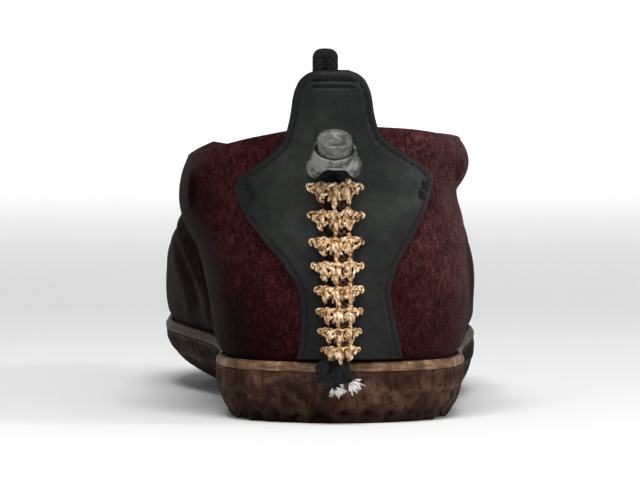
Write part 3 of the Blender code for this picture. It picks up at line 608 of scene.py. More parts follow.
def sweep(path, radius, around=12, wave=None, closed=False):
    """A tube along a path: points, faces and texture places, with rounded ends."""
    path = np.asarray(path, dtype=float)
    tangents, sides, ups = frames(path)
    run = run_along(path)
    step = run[-1] - run[-2]
    radii = np.full(len(path), radius) if np.isscalar(radius) else np.asarray(radius)
    if not closed:
        bow = np.array((0.35, 0.80))
        out = np.array((-0.8, -0.5, *np.zeros(len(run)), 0.5, 0.8)) * radii.mean()
        path, tangents, sides, ups, run = (
            np.concatenate((rows[:1], rows[:1], rows, rows[-1:], rows[-1:]))
            for rows in (path, tangents, sides, ups, run)
        )
        path = path + tangents * out[:, None]
        radii = np.concatenate((radii[0] * bow, radii, radii[-1] * bow[::-1]))
    turn = np.arange(around) / around * 2 * math.pi
    swell = np.ones((len(path), around))
    if wave is not None:
        swell = wave(turn[None, :], run[:, None])
    ring = radii[:, None] * swell
    points = path[:, None] + ring[:, :, None] * (
        sides[:, None] * np.cos(turn)[None, :, None]
        + ups[:, None] * np.sin(turn)[None, :, None]
    )
    faces, rows_at, cols_at = grid_faces(len(path), around, wrap_rows=closed)
    across = np.arange(around + 1) / around * 2 * math.pi * radii.mean()
    along = np.append(run, run[-1] + step)
    loops = grid_map(rows_at, cols_at, across, along)
    faces = faces.tolist()
    loops = loops.reshape(-1, 2).tolist()
    if not closed:
        last = (len(path) - 1) * around
        faces.append(list(range(around))[::-1])
        loops += [[0.0, 0.0]] * around
        faces.append([last + k for k in range(around)])
        loops += [[0.0, float(run[-1])]] * around
    return points.reshape(-1, 3), faces, loops


def gather(name, parts, *finishes):
    """Several swept parts as one piece; a part's fourth item says which finish it has."""
    points = []
    faces = []
    loops = []
    slots = []
    for part_points, part_faces, part_loops, *which in parts:
        start = sum(len(p) for p in points)
        points.append(np.asarray(part_points))
        faces += [[start + v for v in face] for face in part_faces]
        loops += part_loops
        slots += [which[0] if which else 0] * len(part_faces)
    return piece(name, np.vstack(points), faces, loops, finishes, slots)


def belongs(thing, body, slot, *nodes):
    """Says what body a piece rides on and the nodes it stands for; the slot argument is not used."""
    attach(thing, body)
    if nodes:
        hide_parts(*nodes)
    return thing


# Finishes

class Finish:
    """A procedural material, built from texture places in metres or from the object's own."""

    def __init__(self, name, roughness, **sockets):
        self.material = bpy.data.materials.new(name)
        self.material.use_nodes = True
        self.tree = self.material.node_tree
        self.shader = self.tree.nodes["Principled BSDF"]
        self.shader.inputs["Roughness"].default_value = roughness
        for socket, value in sockets.items():
            self.shader.inputs[socket.replace("_", " ")].default_value = value

    def feed(self, target, value):
        """Sets a socket to a number or a colour, or links it to another node's output."""
        if isinstance(value, bpy.types.NodeSocket):
            self.tree.links.new(value, target)
        elif target.type == "RGBA":
            target.default_value = (*value, 1.0)
        else:
            target.default_value = value

    def add(self, kind, output, inputs, **settings):
        """An output of a new node with the given inputs and settings."""
        made = self.tree.nodes.new("ShaderNode" + kind)
        for setting, value in settings.items():
            setattr(made, setting, value)
        for socket, value in inputs.items():
            self.feed(made.inputs[socket], value)
        return made.outputs[output]

    def run(self, along=1.0):
        """Places on the surface's own map, stretched along it."""
        return self.stretch(self.add("UVMap", "UV", {}, uv_map="run"), (1.0, along, 1.0))

    def stretch(self, source, factors):
        return self.add("Mapping", "Vector", {"Vector": source, "Scale": factors})

    def local(self):
        """The object's own coordinates."""
        return self.add("TexCoord", "Object", {})

    def part(self, where, axis):
        """One coordinate of a place: X, Y or Z."""
        return self.add("SeparateXYZ", axis, {"Vector": where})

    def noise(self, where, scale, detail=4.0, rough=0.55, distort=0.0):
        inputs = {"Vector": where, "Scale": scale, "Detail": detail}
        return self.add("TexNoise", "Fac", {**inputs, "Roughness": rough, "Distortion": distort})

    def wave(self, where, scale, distort=0.0, direction="X"):
        inputs = {"Vector": where, "Scale": scale, "Distortion": distort}
        return self.add("TexWave", "Fac", inputs, bands_direction=direction)

    def ramp(self, value, *stops):
        """A colour ramp of (place, colour) stops; a number stands for a grey."""
        made = self.tree.nodes.new("ShaderNodeValToRGB")
        self.feed(made.inputs["Fac"], value)
        elements = made.color_ramp.elements
        while len(elements) < len(stops):
            elements.new(0.5)
        for element, (place, colour) in zip(elements, stops):
            element.position = place
            element.color = (*colour, 1.0) if isinstance(colour, tuple) else (colour,) * 3 + (1.0,)
        return made.outputs["Color"]

    def maths(self, operation, a, b=0.0, c=0.0):
        return self.add("Math", "Value", {0: a, 1: b, 2: c}, operation=operation)

    def mix(self, share, a, b, blend="MIX"):
        """Mixes two colours."""
        return self.add("Mix", 2, {"Factor": share, 6: a, 7: b}, data_type="RGBA", blend_type=blend)

    def tint(self, colour, value, *stops):
        """Multiplies a colour by a ramp of a value."""
        return self.mix(1.0, colour, self.ramp(value, *stops), "MULTIPLY")

    def cover(self, colour, layer, value, *stops):
        """Lays a colour over another, as thick as a ramp of a value says."""
        return self.mix(self.ramp(value, *stops), colour, layer)

    def bump(self, height, distance, strength=1.0, below=None):
        inputs = {"Height": height, "Distance": distance, "Strength": strength}
        if below is not None:
            inputs["Normal"] = below
        return self.add("Bump", "Normal", inputs)

    def done(self, colour, normal=None, rough=None):
        for socket, value in (("Base Color", colour), ("Normal", normal), ("Roughness", rough)):
            if value is not None:
                self.feed(self.shader.inputs[socket], value)
        return self.material


def hair_finish():
    """Short burgundy hair, mottled where it lies this way and that, with painted shade on its inner side
    and near its foot and a painted pale sheen on its outer side; smooth brown at the toe, darker partly as
    painted shade, with pale slanting streaks painted as highlights.
    """
    f = Finish("burgundy_hair", 0.70, Sheen_Weight=0.035, Sheen_Roughness=0.40, Specular_IOR_Level=0.02,
               Sheen_Tint=(0.85, 0.62, 0.62, 1.0))
    where = f.run(0.55)
    place = f.local()
    strands = f.noise(where, 2300.0, 3.0, 0.70, 0.5)
    tufts = f.noise(where, 800.0, 4.0, 0.66, 0.8)
    swirls = f.noise(place, 120.0, 4.0, 0.62, 0.8)
    clouds = f.noise(place, 40.0, 3.0, 0.55)
    nap = f.maths("MULTIPLY_ADD", tufts, 0.55, f.maths("MULTIPLY", strands, 0.45))
    colour = f.ramp(nap, (0.36, (0.0120, 0.0016, 0.0020)), (0.50, (0.0400, 0.0084, 0.0094)),
                    (0.64, (0.0900, 0.0300, 0.0310)))
    colour = f.tint(colour, swirls, (0.34, (0.62, 0.56, 0.56)), (0.66, (1.20, 1.15, 1.15)))
    colour = f.tint(colour, clouds, (0.36, (0.72, 0.68, 0.68)), (0.64, (1.14, 1.14, 1.14)))
    # Painted shade darkens the hair's inner side and a painted pale sheen lightens its outer side, by x and
    # a little by height.
    aside = f.maths("ADD", f.part(place, "X"), 0.38 * BALL_WIDTH)
    aside = f.maths("MULTIPLY_ADD", f.part(place, "Z"), 0.30, aside)
    colour = f.tint(colour, aside, (0.011, (0.16, 0.12, 0.12)), (0.028, 1.0), (0.066, 1.0),
                    (0.094, (1.50, 2.30, 2.15)))
    # Smooth brown toward the toe, its darkness partly painted shade; the pale top stop of the slanting
    # streaks is a painted highlight.
    slant = f.noise(f.stretch(place, (1.0, 0.5, 0.9)), 150.0, 4.0, 0.68, 2.2)
    brown = f.ramp(slant, (0.40, (0.0046, 0.0020, 0.0015)), (0.58, (0.0130, 0.0060, 0.0045)),
                   (0.76, (0.0380, 0.0230, 0.0180)))
    drift = f.maths("MULTIPLY_ADD", f.noise(place, 26.0, 3.0, 0.6, 0.6), 0.060, f.part(place, "Y"))
    forward = f.ramp(drift, (0.062, 0.0), (0.092, 0.50), (0.150, 0.94))
    colour = f.mix(forward, colour, brown)
    # Painted shade: the hair darkens toward its foot by the sole.
    colour = f.tint(colour, f.part(place, "Z"), (0.022, (0.50, 0.46, 0.46)), (0.050, 1.0))
    hairy = f.maths("SUBTRACT", 1.0, f.maths("MULTIPLY", forward, 0.85))
    low = f.bump(f.mix(forward, swirls, slant), 0.0012, 0.5)
    mid = f.bump(tufts, 0.0005, f.maths("MULTIPLY", hairy, 0.75), low)
    fine = f.bump(strands, 0.0002, f.maths("MULTIPLY", hairy, 0.80), mid)
    rough = f.mix(forward, f.ramp(nap, (0.4, 0.85), (0.6, 0.68)), (0.74, 0.74, 0.74))
    return f.done(colour, fine, rough)


def lining_finish():
    """Dark woven lining inside the upper."""
    f = Finish("lining", 0.9, Sheen_Weight=0.1, Specular_IOR_Level=0.15)
    where = f.run()
    weave = f.maths("MULTIPLY", f.wave(where, 420.0, 0.6, "X"), f.wave(where, 420.0, 0.6, "Y"))
    colour = f.ramp(weave, (0.0, (0.010, 0.009, 0.009)), (0.8, (0.035, 0.031, 0.030)))
    fuzz = f.noise(where, 900.0, 3.0)
    colour = f.cover(colour, (0.055, 0.050, 0.047), fuzz, (0.45, 0.0), (0.8, 0.5))
    return f.done(colour, f.bump(weave, 0.0003, 0.8))


def leather_finish():
    """Waxed green-black leather with a fine grain, blackened along its edges, with painted shade darkening
    it toward its foot.
    """
    f = Finish("dark_leather", 0.55, Specular_IOR_Level=0.22)
    where = f.local()
    grain = f.add("TexVoronoi", "Distance", {"Vector": where, "Scale": 1500.0}, feature="SMOOTH_F1")
    clouds = f.noise(where, 62.0, 5.0, 0.66, 0.6)
    colour = f.ramp(clouds, (0.34, (0.0070, 0.0085, 0.0075)), (0.50, (0.0165, 0.0195, 0.0170)),
                    (0.66, (0.0300, 0.0350, 0.0305)))
    blots = f.noise(where, 190.0, 4.0, 0.62, 1.0)
    colour = f.cover(colour, (0.0060, 0.0068, 0.0066), blots, (0.34, 0.60), (0.50, 0.0))
    scuffs = f.noise(where, 800.0, 2.0, 0.5, 1.2)
    colour = f.cover(colour, (0.050, 0.056, 0.050), scuffs, (0.60, 0.0), (0.80, 0.25))
    # Painted shade: the leather darkens toward the patch's foot.
    colour = f.tint(colour, f.part(where, "Z"), (0.030, 0.36), (0.076, 1.0))
    edge = f.part(f.run(), "X")
    colour = f.cover(colour, (0.0032, 0.0036, 0.0035), edge, (0.0008, 0.90), (0.0030, 0.30), (0.0052, 0.0))
    normal = f.bump(f.noise(where, 300.0, 5.0, 0.68, 0.3), 0.0004, 0.6)
    normal = f.bump(grain, 0.0002, 0.6, normal)
    return f.done(colour, normal, f.ramp(clouds, (0.3, 0.70), (0.7, 0.50)))


def rubber_finish():
    """Brown rubber with a hand-rubbed, scratched face and dark specks, with painted shade along its foot by
    the floor and over its forepart.
    """
    f = Finish("brown_rubber", 0.58, Specular_IOR_Level=0.07)
    where = f.local()
    clouds = f.noise(where, 75.0, 5.0, 0.66, 0.7)
    streaks = f.noise(f.stretch(where, (1.0, 1.0, 0.22)), 420.0, 4.0, 0.6, 0.4)
    scratch = f.noise(f.stretch(where, (0.9, 0.9, 0.16)), 900.0, 3.0, 0.6, 0.8)
    dark_specks = f.noise(where, 260.0, 3.0, 0.6, 0.6)
    colour = f.ramp(clouds, (0.33, (0.0130, 0.0056, 0.0036)), (0.49, (0.0460, 0.0205, 0.0125)),
                    (0.65, (0.1200, 0.0640, 0.0410)))
    colour = f.cover(colour, (0.160, 0.092, 0.062), streaks, (0.56, 0.0), (0.80, 0.45))
    colour = f.cover(colour, (0.010, 0.0055, 0.0040), dark_specks, (0.32, 0.80), (0.48, 0.0))
    colour = f.cover(colour, (0.010, 0.006, 0.005), scratch, (0.30, 0.55), (0.44, 0.0))
    # Painted shade: the rubber darkens along its foot by the floor and toward the toe.
    colour = f.tint(colour, f.part(where, "Z"), (0.001, (0.30, 0.27, 0.26)), (0.008, 1.0))
    colour = f.tint(colour, f.part(where, "Y"), (0.0, 1.0), (0.070, (0.36, 0.36, 0.28)))
    normal = f.bump(streaks, 0.0006, 0.5)
    normal = f.bump(scratch, 0.0003, 0.5, normal)
    return f.done(colour, normal, f.ramp(clouds, (0.3, 0.70), (0.7, 0.50)))


def band_finish():
    """The tan band, pale along its top and brown where it meets the rubber, with painted shade darkening it
    toward the toe.
    """
    f = Finish("tan_band", 0.6, Specular_IOR_Level=0.14)
    where = f.local()
    clouds = f.noise(where, 110.0, 5.0, 0.68, 0.9)
    streaks = f.noise(f.stretch(where, (0.25, 0.25, 2.0)), 600.0, 3.0, 0.6)
    colour = f.ramp(clouds, (0.32, (0.058, 0.029, 0.015)), (0.50, (0.165, 0.090, 0.047)),
                    (0.68, (0.400, 0.258, 0.160)))
    up = f.part(f.run(), "Y")
    colour = f.cover(colour, (0.045, 0.023, 0.016), up, (BAND_FOOT_V, 0.92), (BAND_TOP_V, 0.0))
    colour = f.cover(colour, (0.050, 0.026, 0.016), streaks, (0.35, 0.7), (0.5, 0.0))
    # Painted shade: the band darkens toward the toe.
    colour = f.tint(colour, f.part(where, "Y"), (0.0, 1.0), (0.060, (0.30, 0.30, 0.28)))
    return f.done(colour, f.bump(streaks, 0.0004, 0.6))


def lace_finish(name, roughness, gloss, sheen, seam_shade, flecks, *stops):
    """Flecked lace of twisted plies, with painted shade in the seams between plies; its palest cream flecks
    are painted highlights.
    """
    f = Finish(name, roughness, Specular_IOR_Level=gloss, Sheen_Weight=sheen)
    ply = f.wave(f.run(), 230.0, 1.5, "DIAGONAL")
    colour = f.ramp(f.noise(f.local(), 560.0, 3.0, *flecks), *stops)
    # Painted shade in the seams between the plies.
    colour = f.cover(colour, (0.040, 0.012, 0.004), ply, (0.0, seam_shade), (0.38, 0.0))
    return f.done(colour, f.bump(ply, 0.0004, 0.9))


def cord_finish():
    """Black braided cord."""
    f = Finish("black_cord", 0.75, Sheen_Weight=0.05, Sheen_Roughness=0.4, Specular_IOR_Level=0.2)
    where = f.run()
    left = f.wave(where, 260.0, 0.5, "DIAGONAL")
    right = f.wave(f.stretch(where, (-1.0, 1.0, 1.0)), 260.0, 0.5, "DIAGONAL")
    braid = f.maths("MAXIMUM", left, right)
    colour = f.ramp(braid, (0.35, (0.0012, 0.0013, 0.0014)), (0.95, (0.0065, 0.0070, 0.0076)))
    fuzz = f.noise(where, 1600.0, 2.0)
    colour = f.cover(colour, (0.013, 0.014, 0.015), fuzz, (0.55, 0.0), (0.8, 0.5))
    return f.done(colour, f.bump(braid, 0.0004, 0.9))


def fibre_finish():
    """The pale core fibres at the cut ends."""
    f = Finish("pale_fibre", 0.8, Sheen_Weight=0.3)
    spots = f.noise(f.local(), 900.0, 2.0)
    return f.done(f.ramp(spots, (0.3, (0.60, 0.59, 0.57)), (0.6, (0.95, 0.94, 0.92))))


def plastic_finish(name, dark, pale):
    """Moulded plastic with painted light and shade: dark and pale patches, and pale streaks painted as
    highlights along fine rubbed marks in its face.
    """
    f = Finish(name, 0.4, Specular_IOR_Level=0.62)
    where = f.local()
    clouds = f.noise(where, 170.0, 4.0, 0.66, 1.2)
    rubs_and_glints = f.noise(f.stretch(where, (1.0, 1.0, 0.4)), 620.0, 3.0, 0.62, 0.8)
    # Painted light and shade: dark and pale patches, with pale streaks painted over them as highlights.
    colour = f.ramp(clouds, (0.45, dark), (0.55, pale))
    colour = f.cover(colour, (0.26, 0.26, 0.25), rubs_and_glints, (0.56, 0.0), (0.74, 0.7))
    normal = f.bump(f.noise(where, 2200.0, 2.0, 0.6), 0.00014, 0.7, f.bump(rubs_and_glints, 0.0003, 0.5))
    return f.done(colour, normal, f.ramp(clouds, (0.35, 0.46), (0.62, 0.22)))


def thread_finish():
    """Waxed dark thread."""
    f = Finish("thread", 0.6, Specular_IOR_Level=0.2)
    ply = f.wave(f.run(), 700.0, 0.8, "DIAGONAL")
    colour = f.ramp(ply, (0.2, (0.0015, 0.0018, 0.0018)), (0.9, (0.0085, 0.0100, 0.0095)))
    return f.done(colour, f.bump(ply, 0.00015, 0.7))


HAIR = hair_finish()
LINING = lining_finish()
LEATHER = leather_finish()
RUBBER = rubber_finish()
BAND = band_finish()
# Gold lace: its own gold and brown flecks, a cream top stop that is a painted highlight, and painted seam
# shade.
LACE = lace_finish(
    "gold_lace", 0.42, 0.5, 0.08, 0.70, (0.72, 0.4), (0.35, (0.060, 0.020, 0.008)),
    (0.43, (0.42, 0.190, 0.065)), (0.51, (0.88, 0.520, 0.220)), (0.62, (1.00, 0.880, 0.660)),
)
# A darker brown copy of the lace for the strands behind the rows: painted shade.
SHADED_LACE = lace_finish(
    "shaded_brown_lace", 0.55, 0.3, 0.0, 0.0, (0.7, 0.0), (0.36, (0.010, 0.003, 0.002)),
    (0.54, (0.050, 0.018, 0.008)), (0.72, (0.26, 0.13, 0.055)),
)
CORD = cord_finish()
FIBRE = fibre_finish()
# Dark and pale of the painted light and shade on the lock and its button.
LOCK_GREY = plastic_finish("lock_grey", (0.012, 0.012, 0.011), (0.185, 0.185, 0.180))
BUTTON_GREY = plastic_finish("button_grey", (0.040, 0.040, 0.038), (0.120, 0.120, 0.115))
THREAD = thread_finish()


# Camera

def make_camera():
    """The photograph's viewing angle, closer in on the one shoe."""
    ahead = Vector((math.sin(PHOTO_TURN), math.cos(PHOTO_TURN), 0.0))
    right = Vector((math.cos(PHOTO_TURN), -math.sin(PHOTO_TURN), 0.0))
    up = Vector((0.0, 0.0, 1.0))
    eye = Vector((0.0, -HEEL_SETBACK, PHOTO_HEIGHT))
    eye -= PHOTO_DISTANCE * ahead + PHOTO_ASIDE * right
    aim = ahead + right * (AIM_RIGHT_PIXELS / PHOTO_FOCAL_PIXELS)
    aim -= up * (AIM_DOWN_PIXELS / PHOTO_FOCAL_PIXELS)
    lens = bpy.data.cameras.new("camera")
    lens.sensor_width = SENSOR_MM
    lens.lens = PHOTO_FOCAL_PIXELS / PHOTO_WIDTH_PIXELS * SENSOR_MM * CLOSER
    lens.clip_start = 0.05
    lens.clip_end = 50.0
    camera = bpy.data.objects.new("camera", lens)
    camera.location = eye
    camera.rotation_mode = "QUATERNION"
    camera.rotation_quaternion = aim.to_track_quat("-Z", "Y")
    bpy.context.scene.collection.objects.link(camera)
    bpy.context.scene.camera = camera


make_camera()


# Cords

BARE_WALL = HeelWall(0.0)
ON_PATCH = PATCH_GAP + PATCH_THICKNESS + GAP


def lace_height(share):
    """Height of a row of lace, from 0 at the top row to 1 at the foot."""
    crowded = share + LACE_CROWDING * share * (1.0 - share)
    return LACE_TOP + (LACE_FOOT - LACE_TOP) * crowded


def lace_x(height):
    """x of the lacing's middle line at a height."""
    share = (height - LACE_FOOT) / (LACE_TOP - LACE_FOOT)
    return LACE_X_FOOT + (LACE_X_TOP - LACE_X_FOOT) * share


def knot_centre():
    """The middle of the knot, just behind the tan band."""
    return np.array((KNOT_X, -HEEL_SETBACK - RIM_PROUD - GAP - KNOT_SIZE[1] / 2, KNOT_Z))


def braid(around, pitch, depth):
    """A relief of crossing strands for a swept cord."""
    def wave(turn, run):
        left = np.abs(np.sin(around / 2 * turn + math.pi * run / pitch))
        right = np.abs(np.sin(around / 2 * turn - math.pi * run / pitch))
        return 1.0 - depth + depth * np.maximum(left, right)
    return wave


# Ends of the two cords below the knot: across from its middle, drop below it, back
CORD_ENDS = {
    "medial": ((-0.0004, 0.0004), (0.0000, -0.0014), (0.0006, -0.0029), (0.0013, -0.0043)),
    "lateral": ((0.0022, 0.0006), (0.0038, -0.0004), (0.0051, -0.0015), (0.0062, -0.0029)),
}


# Loops of the knot: start and lean of each, and half its width
KNOT_LOOPS = ((0.0, 0.22, 0.0043), (2.0, -0.30, 0.0040), (4.0, 0.02, 0.0032))
KNOT_OVERS = (-0.0032, 0.0014)
FIBRES = 110


def cord_route(side, end):
    """One draw cord from inside the lock, behind the rows and through the knot."""
    rise = ON_PATCH + CORD_DIAMETER / 2
    points = []
    for drop, lift in zip(STRAND_HEAD["drop"], STRAND_HEAD["lift"]):
        x = LOCK_X + side * CORD_SPACING / 2
        points.append(BARE_WALL.at(x, LOCK_SEAT - drop, rise + lift))
    for height in np.linspace(points[-1][2], KNOT_Z + KNOT_SIZE[2] / 2 + 3 * GAP, 9)[1:]:
        points.append(BARE_WALL.at(float(lace_x(height)) + side * CORD_SPACING / 2, height, rise))
    points = [p - np.array((0.0, HEEL_SETBACK, 0.0)) for p in points]
    middle = knot_centre()
    points += [middle + np.array((x, 0.0, z)) for x, z in CORD_ENDS[end]]
    return through(points, 240)


def make_cords():
    """The two free draw cords, their knot and their frayed ends."""
    random = np.random.default_rng(11)
    middle = knot_centre()
    wraps = []
    for start, lean, wide in KNOT_LOOPS:
        turn = np.linspace(0.0, 2 * math.pi, 60, endpoint=False) + start
        x = middle[0] - 0.0002 + wide * np.cos(turn)
        z = middle[2] + 0.0006 + 0.0021 * np.sin(turn) + lean * wide * np.cos(turn)
        y = middle[1] + 0.0015 * np.sin(turn + 0.9)
        loop = np.column_stack((x, y, z))
        wraps.append(sweep(loop, CORD_DIAMETER * 0.56, 16, braid(8, 0.0022, 0.16), closed=True))
    climb = np.linspace(-1.0, 1.0, 40)
    for aside in KNOT_OVERS:
        bow = np.sqrt(np.clip(1.0 - climb**2, 0.0, 1.0))
        over = np.column_stack((
            middle[0] + aside + 0.0012 * climb,
            middle[1] - 0.0018 * bow,
            middle[2] + 0.0006 + 0.0026 * climb,
        ))
        wraps.append(sweep(over, CORD_DIAMETER * 0.54, 16, braid(8, 0.0022, 0.16)))
    knot = gather("cord_knot", wraps, CORD)
    belongs(knot, SHOE, "black_cord", "draw_cord_knot")
    for side, end in ((-1, "medial"), (1, "lateral")):
        route = cord_route(side, end)
        body = gather(
            f"cord_{end}", [sweep(route, CORD_DIAMETER / 2, 20, braid(8, 0.0024, 0.14))], CORD
        )
        belongs(body, SHOE, "black_cord", f"draw_cord_{end}", f"cord_end_{end}")
        tangent = route[-1] - route[-6]
        tangent /= np.linalg.norm(tangent)
        fibres = []
        for _ in range(FIBRES):
            spread = random.normal(0.0, 1.0, 3)
            spread -= tangent * np.dot(spread, tangent)
            start = route[-1] + spread * 0.00042 - tangent * 0.0006
            out = tangent + spread * 0.26
            out /= np.linalg.norm(out)
            size = random.uniform(0.0016, 0.0032)
            curl = random.normal(0.0, 0.0004, 3)
            mid = start + out * size * 0.5 + curl
            tip = start + out * size + curl * 1.6
            path = through((start, mid, tip), 5)
            fibres.append(sweep(path, np.linspace(0.00017, 0.00008, 5), 5))
        tip = gather(f"cord_tip_{end}", fibres, FIBRE)
        belongs(tip, SHOE, "black_cord")


make_cords()


# Upper

# Side folds: side, depth, width, then along and height of the fold's line, in millimetres
SIDE_FOLDS = (
    (-1, 1.9, 5.2, ((132, 70), (121, 56), (110, 42), (101, 27))),
    (-1, 2.2, 5.6, ((151, 63), (142, 51), (131, 38), (123, 25))),
    (-1, 1.3, 5.0, ((113, 73), (101, 60), (90, 46), (83, 32))),
    (-1, 1.5, 5.4, ((171, 55), (164, 46), (155, 36), (149, 28))),
    (-1, 0.9, 4.6, ((88, 74), (79, 62), (70, 48), (66, 36))),
    (1, 1.2, 5.0, ((134, 67), (127, 55), (120, 42), (115, 30))),
    (1, 1.4, 5.4, ((154, 60), (149, 50), (143, 39), (139, 30))),
    (1, 0.8, 4.8, ((112, 74), (104, 62), (97, 50), (93, 38))),
)

# Folds over the forepart: 0, depth, width, then x and along of the line, in millimetres
FOREPART_FOLDS = (
    (0, 1.0, 4.6, ((-40, 150), (-22, 157), (0, 160), (20, 157), (38, 149))),
    (0, 0.7, 4.0, ((-34, 176), (-16, 182), (4, 183), (24, 177))),
    (0, 0.8, 4.2, ((-33, 131), (-18, 138), (0, 140), (16, 138), (30, 131))),
)


def to_path(spots, path):
    """Signed distances of flat points to a line, and their share along it."""
    flat = spots.reshape(-1, 2)
    starts = path[:-1]
    steps = np.diff(path, axis=0)
    sizes = np.linalg.norm(steps, axis=1)
    run = np.concatenate(([0.0], np.cumsum(sizes)))
    best = np.full(len(flat), np.inf)
    signed = np.zeros(len(flat))
    share = np.zeros(len(flat))
    for start, step, size, done in zip(starts, steps, sizes, run):
        off = flat - start
        t = np.clip(off @ step / size**2, 0.0, 1.0)
        gap = off - t[:, None] * step
        far = np.linalg.norm(gap, axis=1)
        side = np.sign(step[0] * gap[:, 1] - step[1] * gap[:, 0])
        near = far < best
        best = np.where(near, far, best)
        signed = np.where(near, far * side, signed)
        share = np.where(near, (done + t * size) / run[-1], share)
    return signed.reshape(spots.shape[:-1]), share.reshape(spots.shape[:-1])


def trough(off, width, depth):
    """A soft trough between two low ridges."""
    bank = hump(off, 1.7 * width, width) + hump(off, -1.7 * width, width)
    return depth * (0.42 * bank - hump(off, 0.0, width))


def folds(grid):
    """How far the listed folds lift the upper's surface."""
    x, along, height = grid[:, :, 0], grid[:, :, 1], grid[:, :, 2]
    total = np.zeros(x.shape)
    for side, depth, width, line in SIDE_FOLDS + FOREPART_FOLDS:
        seen = (along, height) if side else (x, along)
        here = ease(0.5 + side * (x - COLLAR_SHIFT) / 0.03) if side else ease((height - 0.036) / 0.02)
        off, share = to_path(np.stack(seen, axis=-1), through(line, 24) * MM)
        fade = np.sqrt(np.sin(np.clip(share, 0.02, 0.98) * math.pi))
        total += here * fade * trough(off, width * MM, depth * MM)
    return total


def shell_surface():
    """The upper's base grid, its normals, and the outer face with its relief and folds."""
    grid, normals, to_collar = base_surface(SHELL_COLUMNS, SHELL_BODY_ROWS, SHELL_ROLL_ROWS)
    free = clear_of_patch(grid, MM, 6 * MM)
    foot = ease((grid[:, :, 2] - deck(grid[:, :, 1] / LENGTH) - RIM_HEIGHT) / (5 * MM))
    soft = 0.5 * MM * uneven(grid, 0.032, 1) + 0.22 * MM * uneven(grid, 0.011, 2)
    away = ease((to_collar - 0.25 * ROLL_HEIGHT) / (0.9 * ROLL_HEIGHT))
    puckers = np.stack((grid[:, :, 0], grid[:, :, 1], grid[:, :, 2] * 0.5), axis=-1)
    roll = (1.0 - away) * 0.28 * MM * uneven(puckers, 0.0095, 3)
    lift = relief(grid, to_collar) + (folds(grid) * away + soft + roll) * free * foot
    return grid, normals, grid + normals * lift[:, :, None]


def make_upper():
    """The hollow upper with its rolled collar, hair outside and lining inside."""
    grid, normals, outer = shell_surface()
    inner = grid - normals * WALL
    outline = sole_outline(SHELL_COLUMNS, HEEL_CROWDING)
    low = deck(outline[:, 1] / LENGTH) + GAP
    outer_foot = np.column_stack((outer[:, 0, :2], low))
    inner_foot = np.column_stack((inner[:, 0, :2], low))
    middle = 0.5 * (outer[:, -1] + inner[:, -1])
    half = 0.5 * (outer[:, -1] - inner[:, -1])
    up = np.array((0.0, 0.0, 1.0))
    rings = [outer_foot] + [outer[:, k] for k in range(outer.shape[1])]
    for turn in np.linspace(0.0, math.pi, 9)[1:-1]:
        rings.append(middle + half * math.cos(turn) + up * RIM_ROUND * math.sin(turn))
    turned_in = len(rings) + SHELL_ROLL_ROWS // 2
    inside = list(range(inner.shape[1] - 1, SHELL_BODY_ROWS, -1))
    inside += list(range(SHELL_BODY_ROWS, -1, -SHELL_BODY_ROWS // LINING_BODY_ROWS))
    rings += [inner[:, k] for k in inside]
    rings += [inner_foot]
    stack = np.array(rings)
    run = np.linalg.norm(np.diff(stack, axis=0), axis=2)
    along = np.vstack((np.zeros(SHELL_COLUMNS), np.cumsum(run, axis=0)))
    along = np.column_stack((along, along[:, 0]))
    across = 0.8 * run_along(outline, closed=True)
    faces, rows_at, cols_at = grid_faces(len(stack), SHELL_COLUMNS, wrap_rows=True)
    rows_at = np.minimum(rows_at, len(stack) - 1)
    loops = np.stack((across[cols_at], along[rows_at, cols_at]), axis=-1)
    slots = (rows_at[:, 0] > turned_in).astype(int)
    points = shift(stack.reshape(-1, 3))
    shell = piece("upper_shell", points, faces, loops, [HAIR, LINING], slots)
    belongs(shell, SHOE, "burgundy_hair", "upper")


make_upper()


# Heel patch

STITCH_INSET = 0.0021
STITCH_PITCH = 0.0029
STITCH_LENGTH = 0.0021
THREAD_RADIUS = 0.00030
PATCH_EDGE = 0.0011
WALL_TUCKED = HeelWall(TUCK)

# The raised welt round the loop's stitching: across from the tab's middle and height
WELT = ((-7.6, 106.6), (-7.4, 108.2), (-5.2, 109.7), (0.0, 110.2), (5.2, 109.7), (7.4, 108.2), (7.6, 106.6))
SLOT_ROWS = (106.6, 108.7)
SLOT_HALF = 6.3

# Bar tacks by the patch's wings: across, height and slope
BAR_TACKS = (
    (-0.0295, 0.0722, 0.35),
    (-0.0310, 0.0755, 0.2),
    (0.0250, 0.0722, -0.45),
    (0.0262, 0.0752, -0.3),
)
TACK_HALF = 1.15
TACK_PITCH = 0.52


def patch_outline():
    """The patch's edge from its inner foot over the top to its outer foot, laid flat."""
    heights = np.linspace(PATCH_FOOT, TAB_TOP, 320)
    left = np.column_stack((spine(heights) - patch_half(heights, -1.0), heights))
    right = np.column_stack((spine(heights) + patch_half(heights, 1.0), heights))
    return np.vstack((left, right[::-1]))


PATCH_EDGE_LINE = evenly(patch_outline(), 700)


def patch_lift(across, height, edge):
    """Lift of the patch's front face at flat places, by their distance from its edge."""
    near = np.clip(edge / PATCH_EDGE, 0.0, 1.0)
    lift = PATCH_THICKNESS * np.maximum(np.sqrt(1.0 - (1.0 - near) ** 2), 0.22)
    lift -= 0.38 * MM * hump(edge, STITCH_INSET, 0.42 * MM)
    lift += 0.22 * MM * hump(edge, STITCH_INSET + 1.5 * MM, 0.9 * MM)
    spots = np.stack((across - spine(height), height), axis=-1)
    off, share = to_path(spots, through(WELT, 40) * MM)
    lift += 0.60 * MM * hump(off, 0.0, 0.70 * MM)
    for row in SLOT_ROWS:
        inside = ease((SLOT_HALF * MM - np.abs(spots[..., 0])) / (0.6 * MM))
        lift -= 0.90 * MM * inside * hump(height, row * MM, 0.50 * MM)
    flat = np.stack((across, height, np.zeros_like(across)), axis=-1)
    lift += near * (0.20 * MM * uneven(flat, 0.013, 5) + 0.07 * MM * uneven(flat, 0.0035, 6))
    return PATCH_GAP + lift


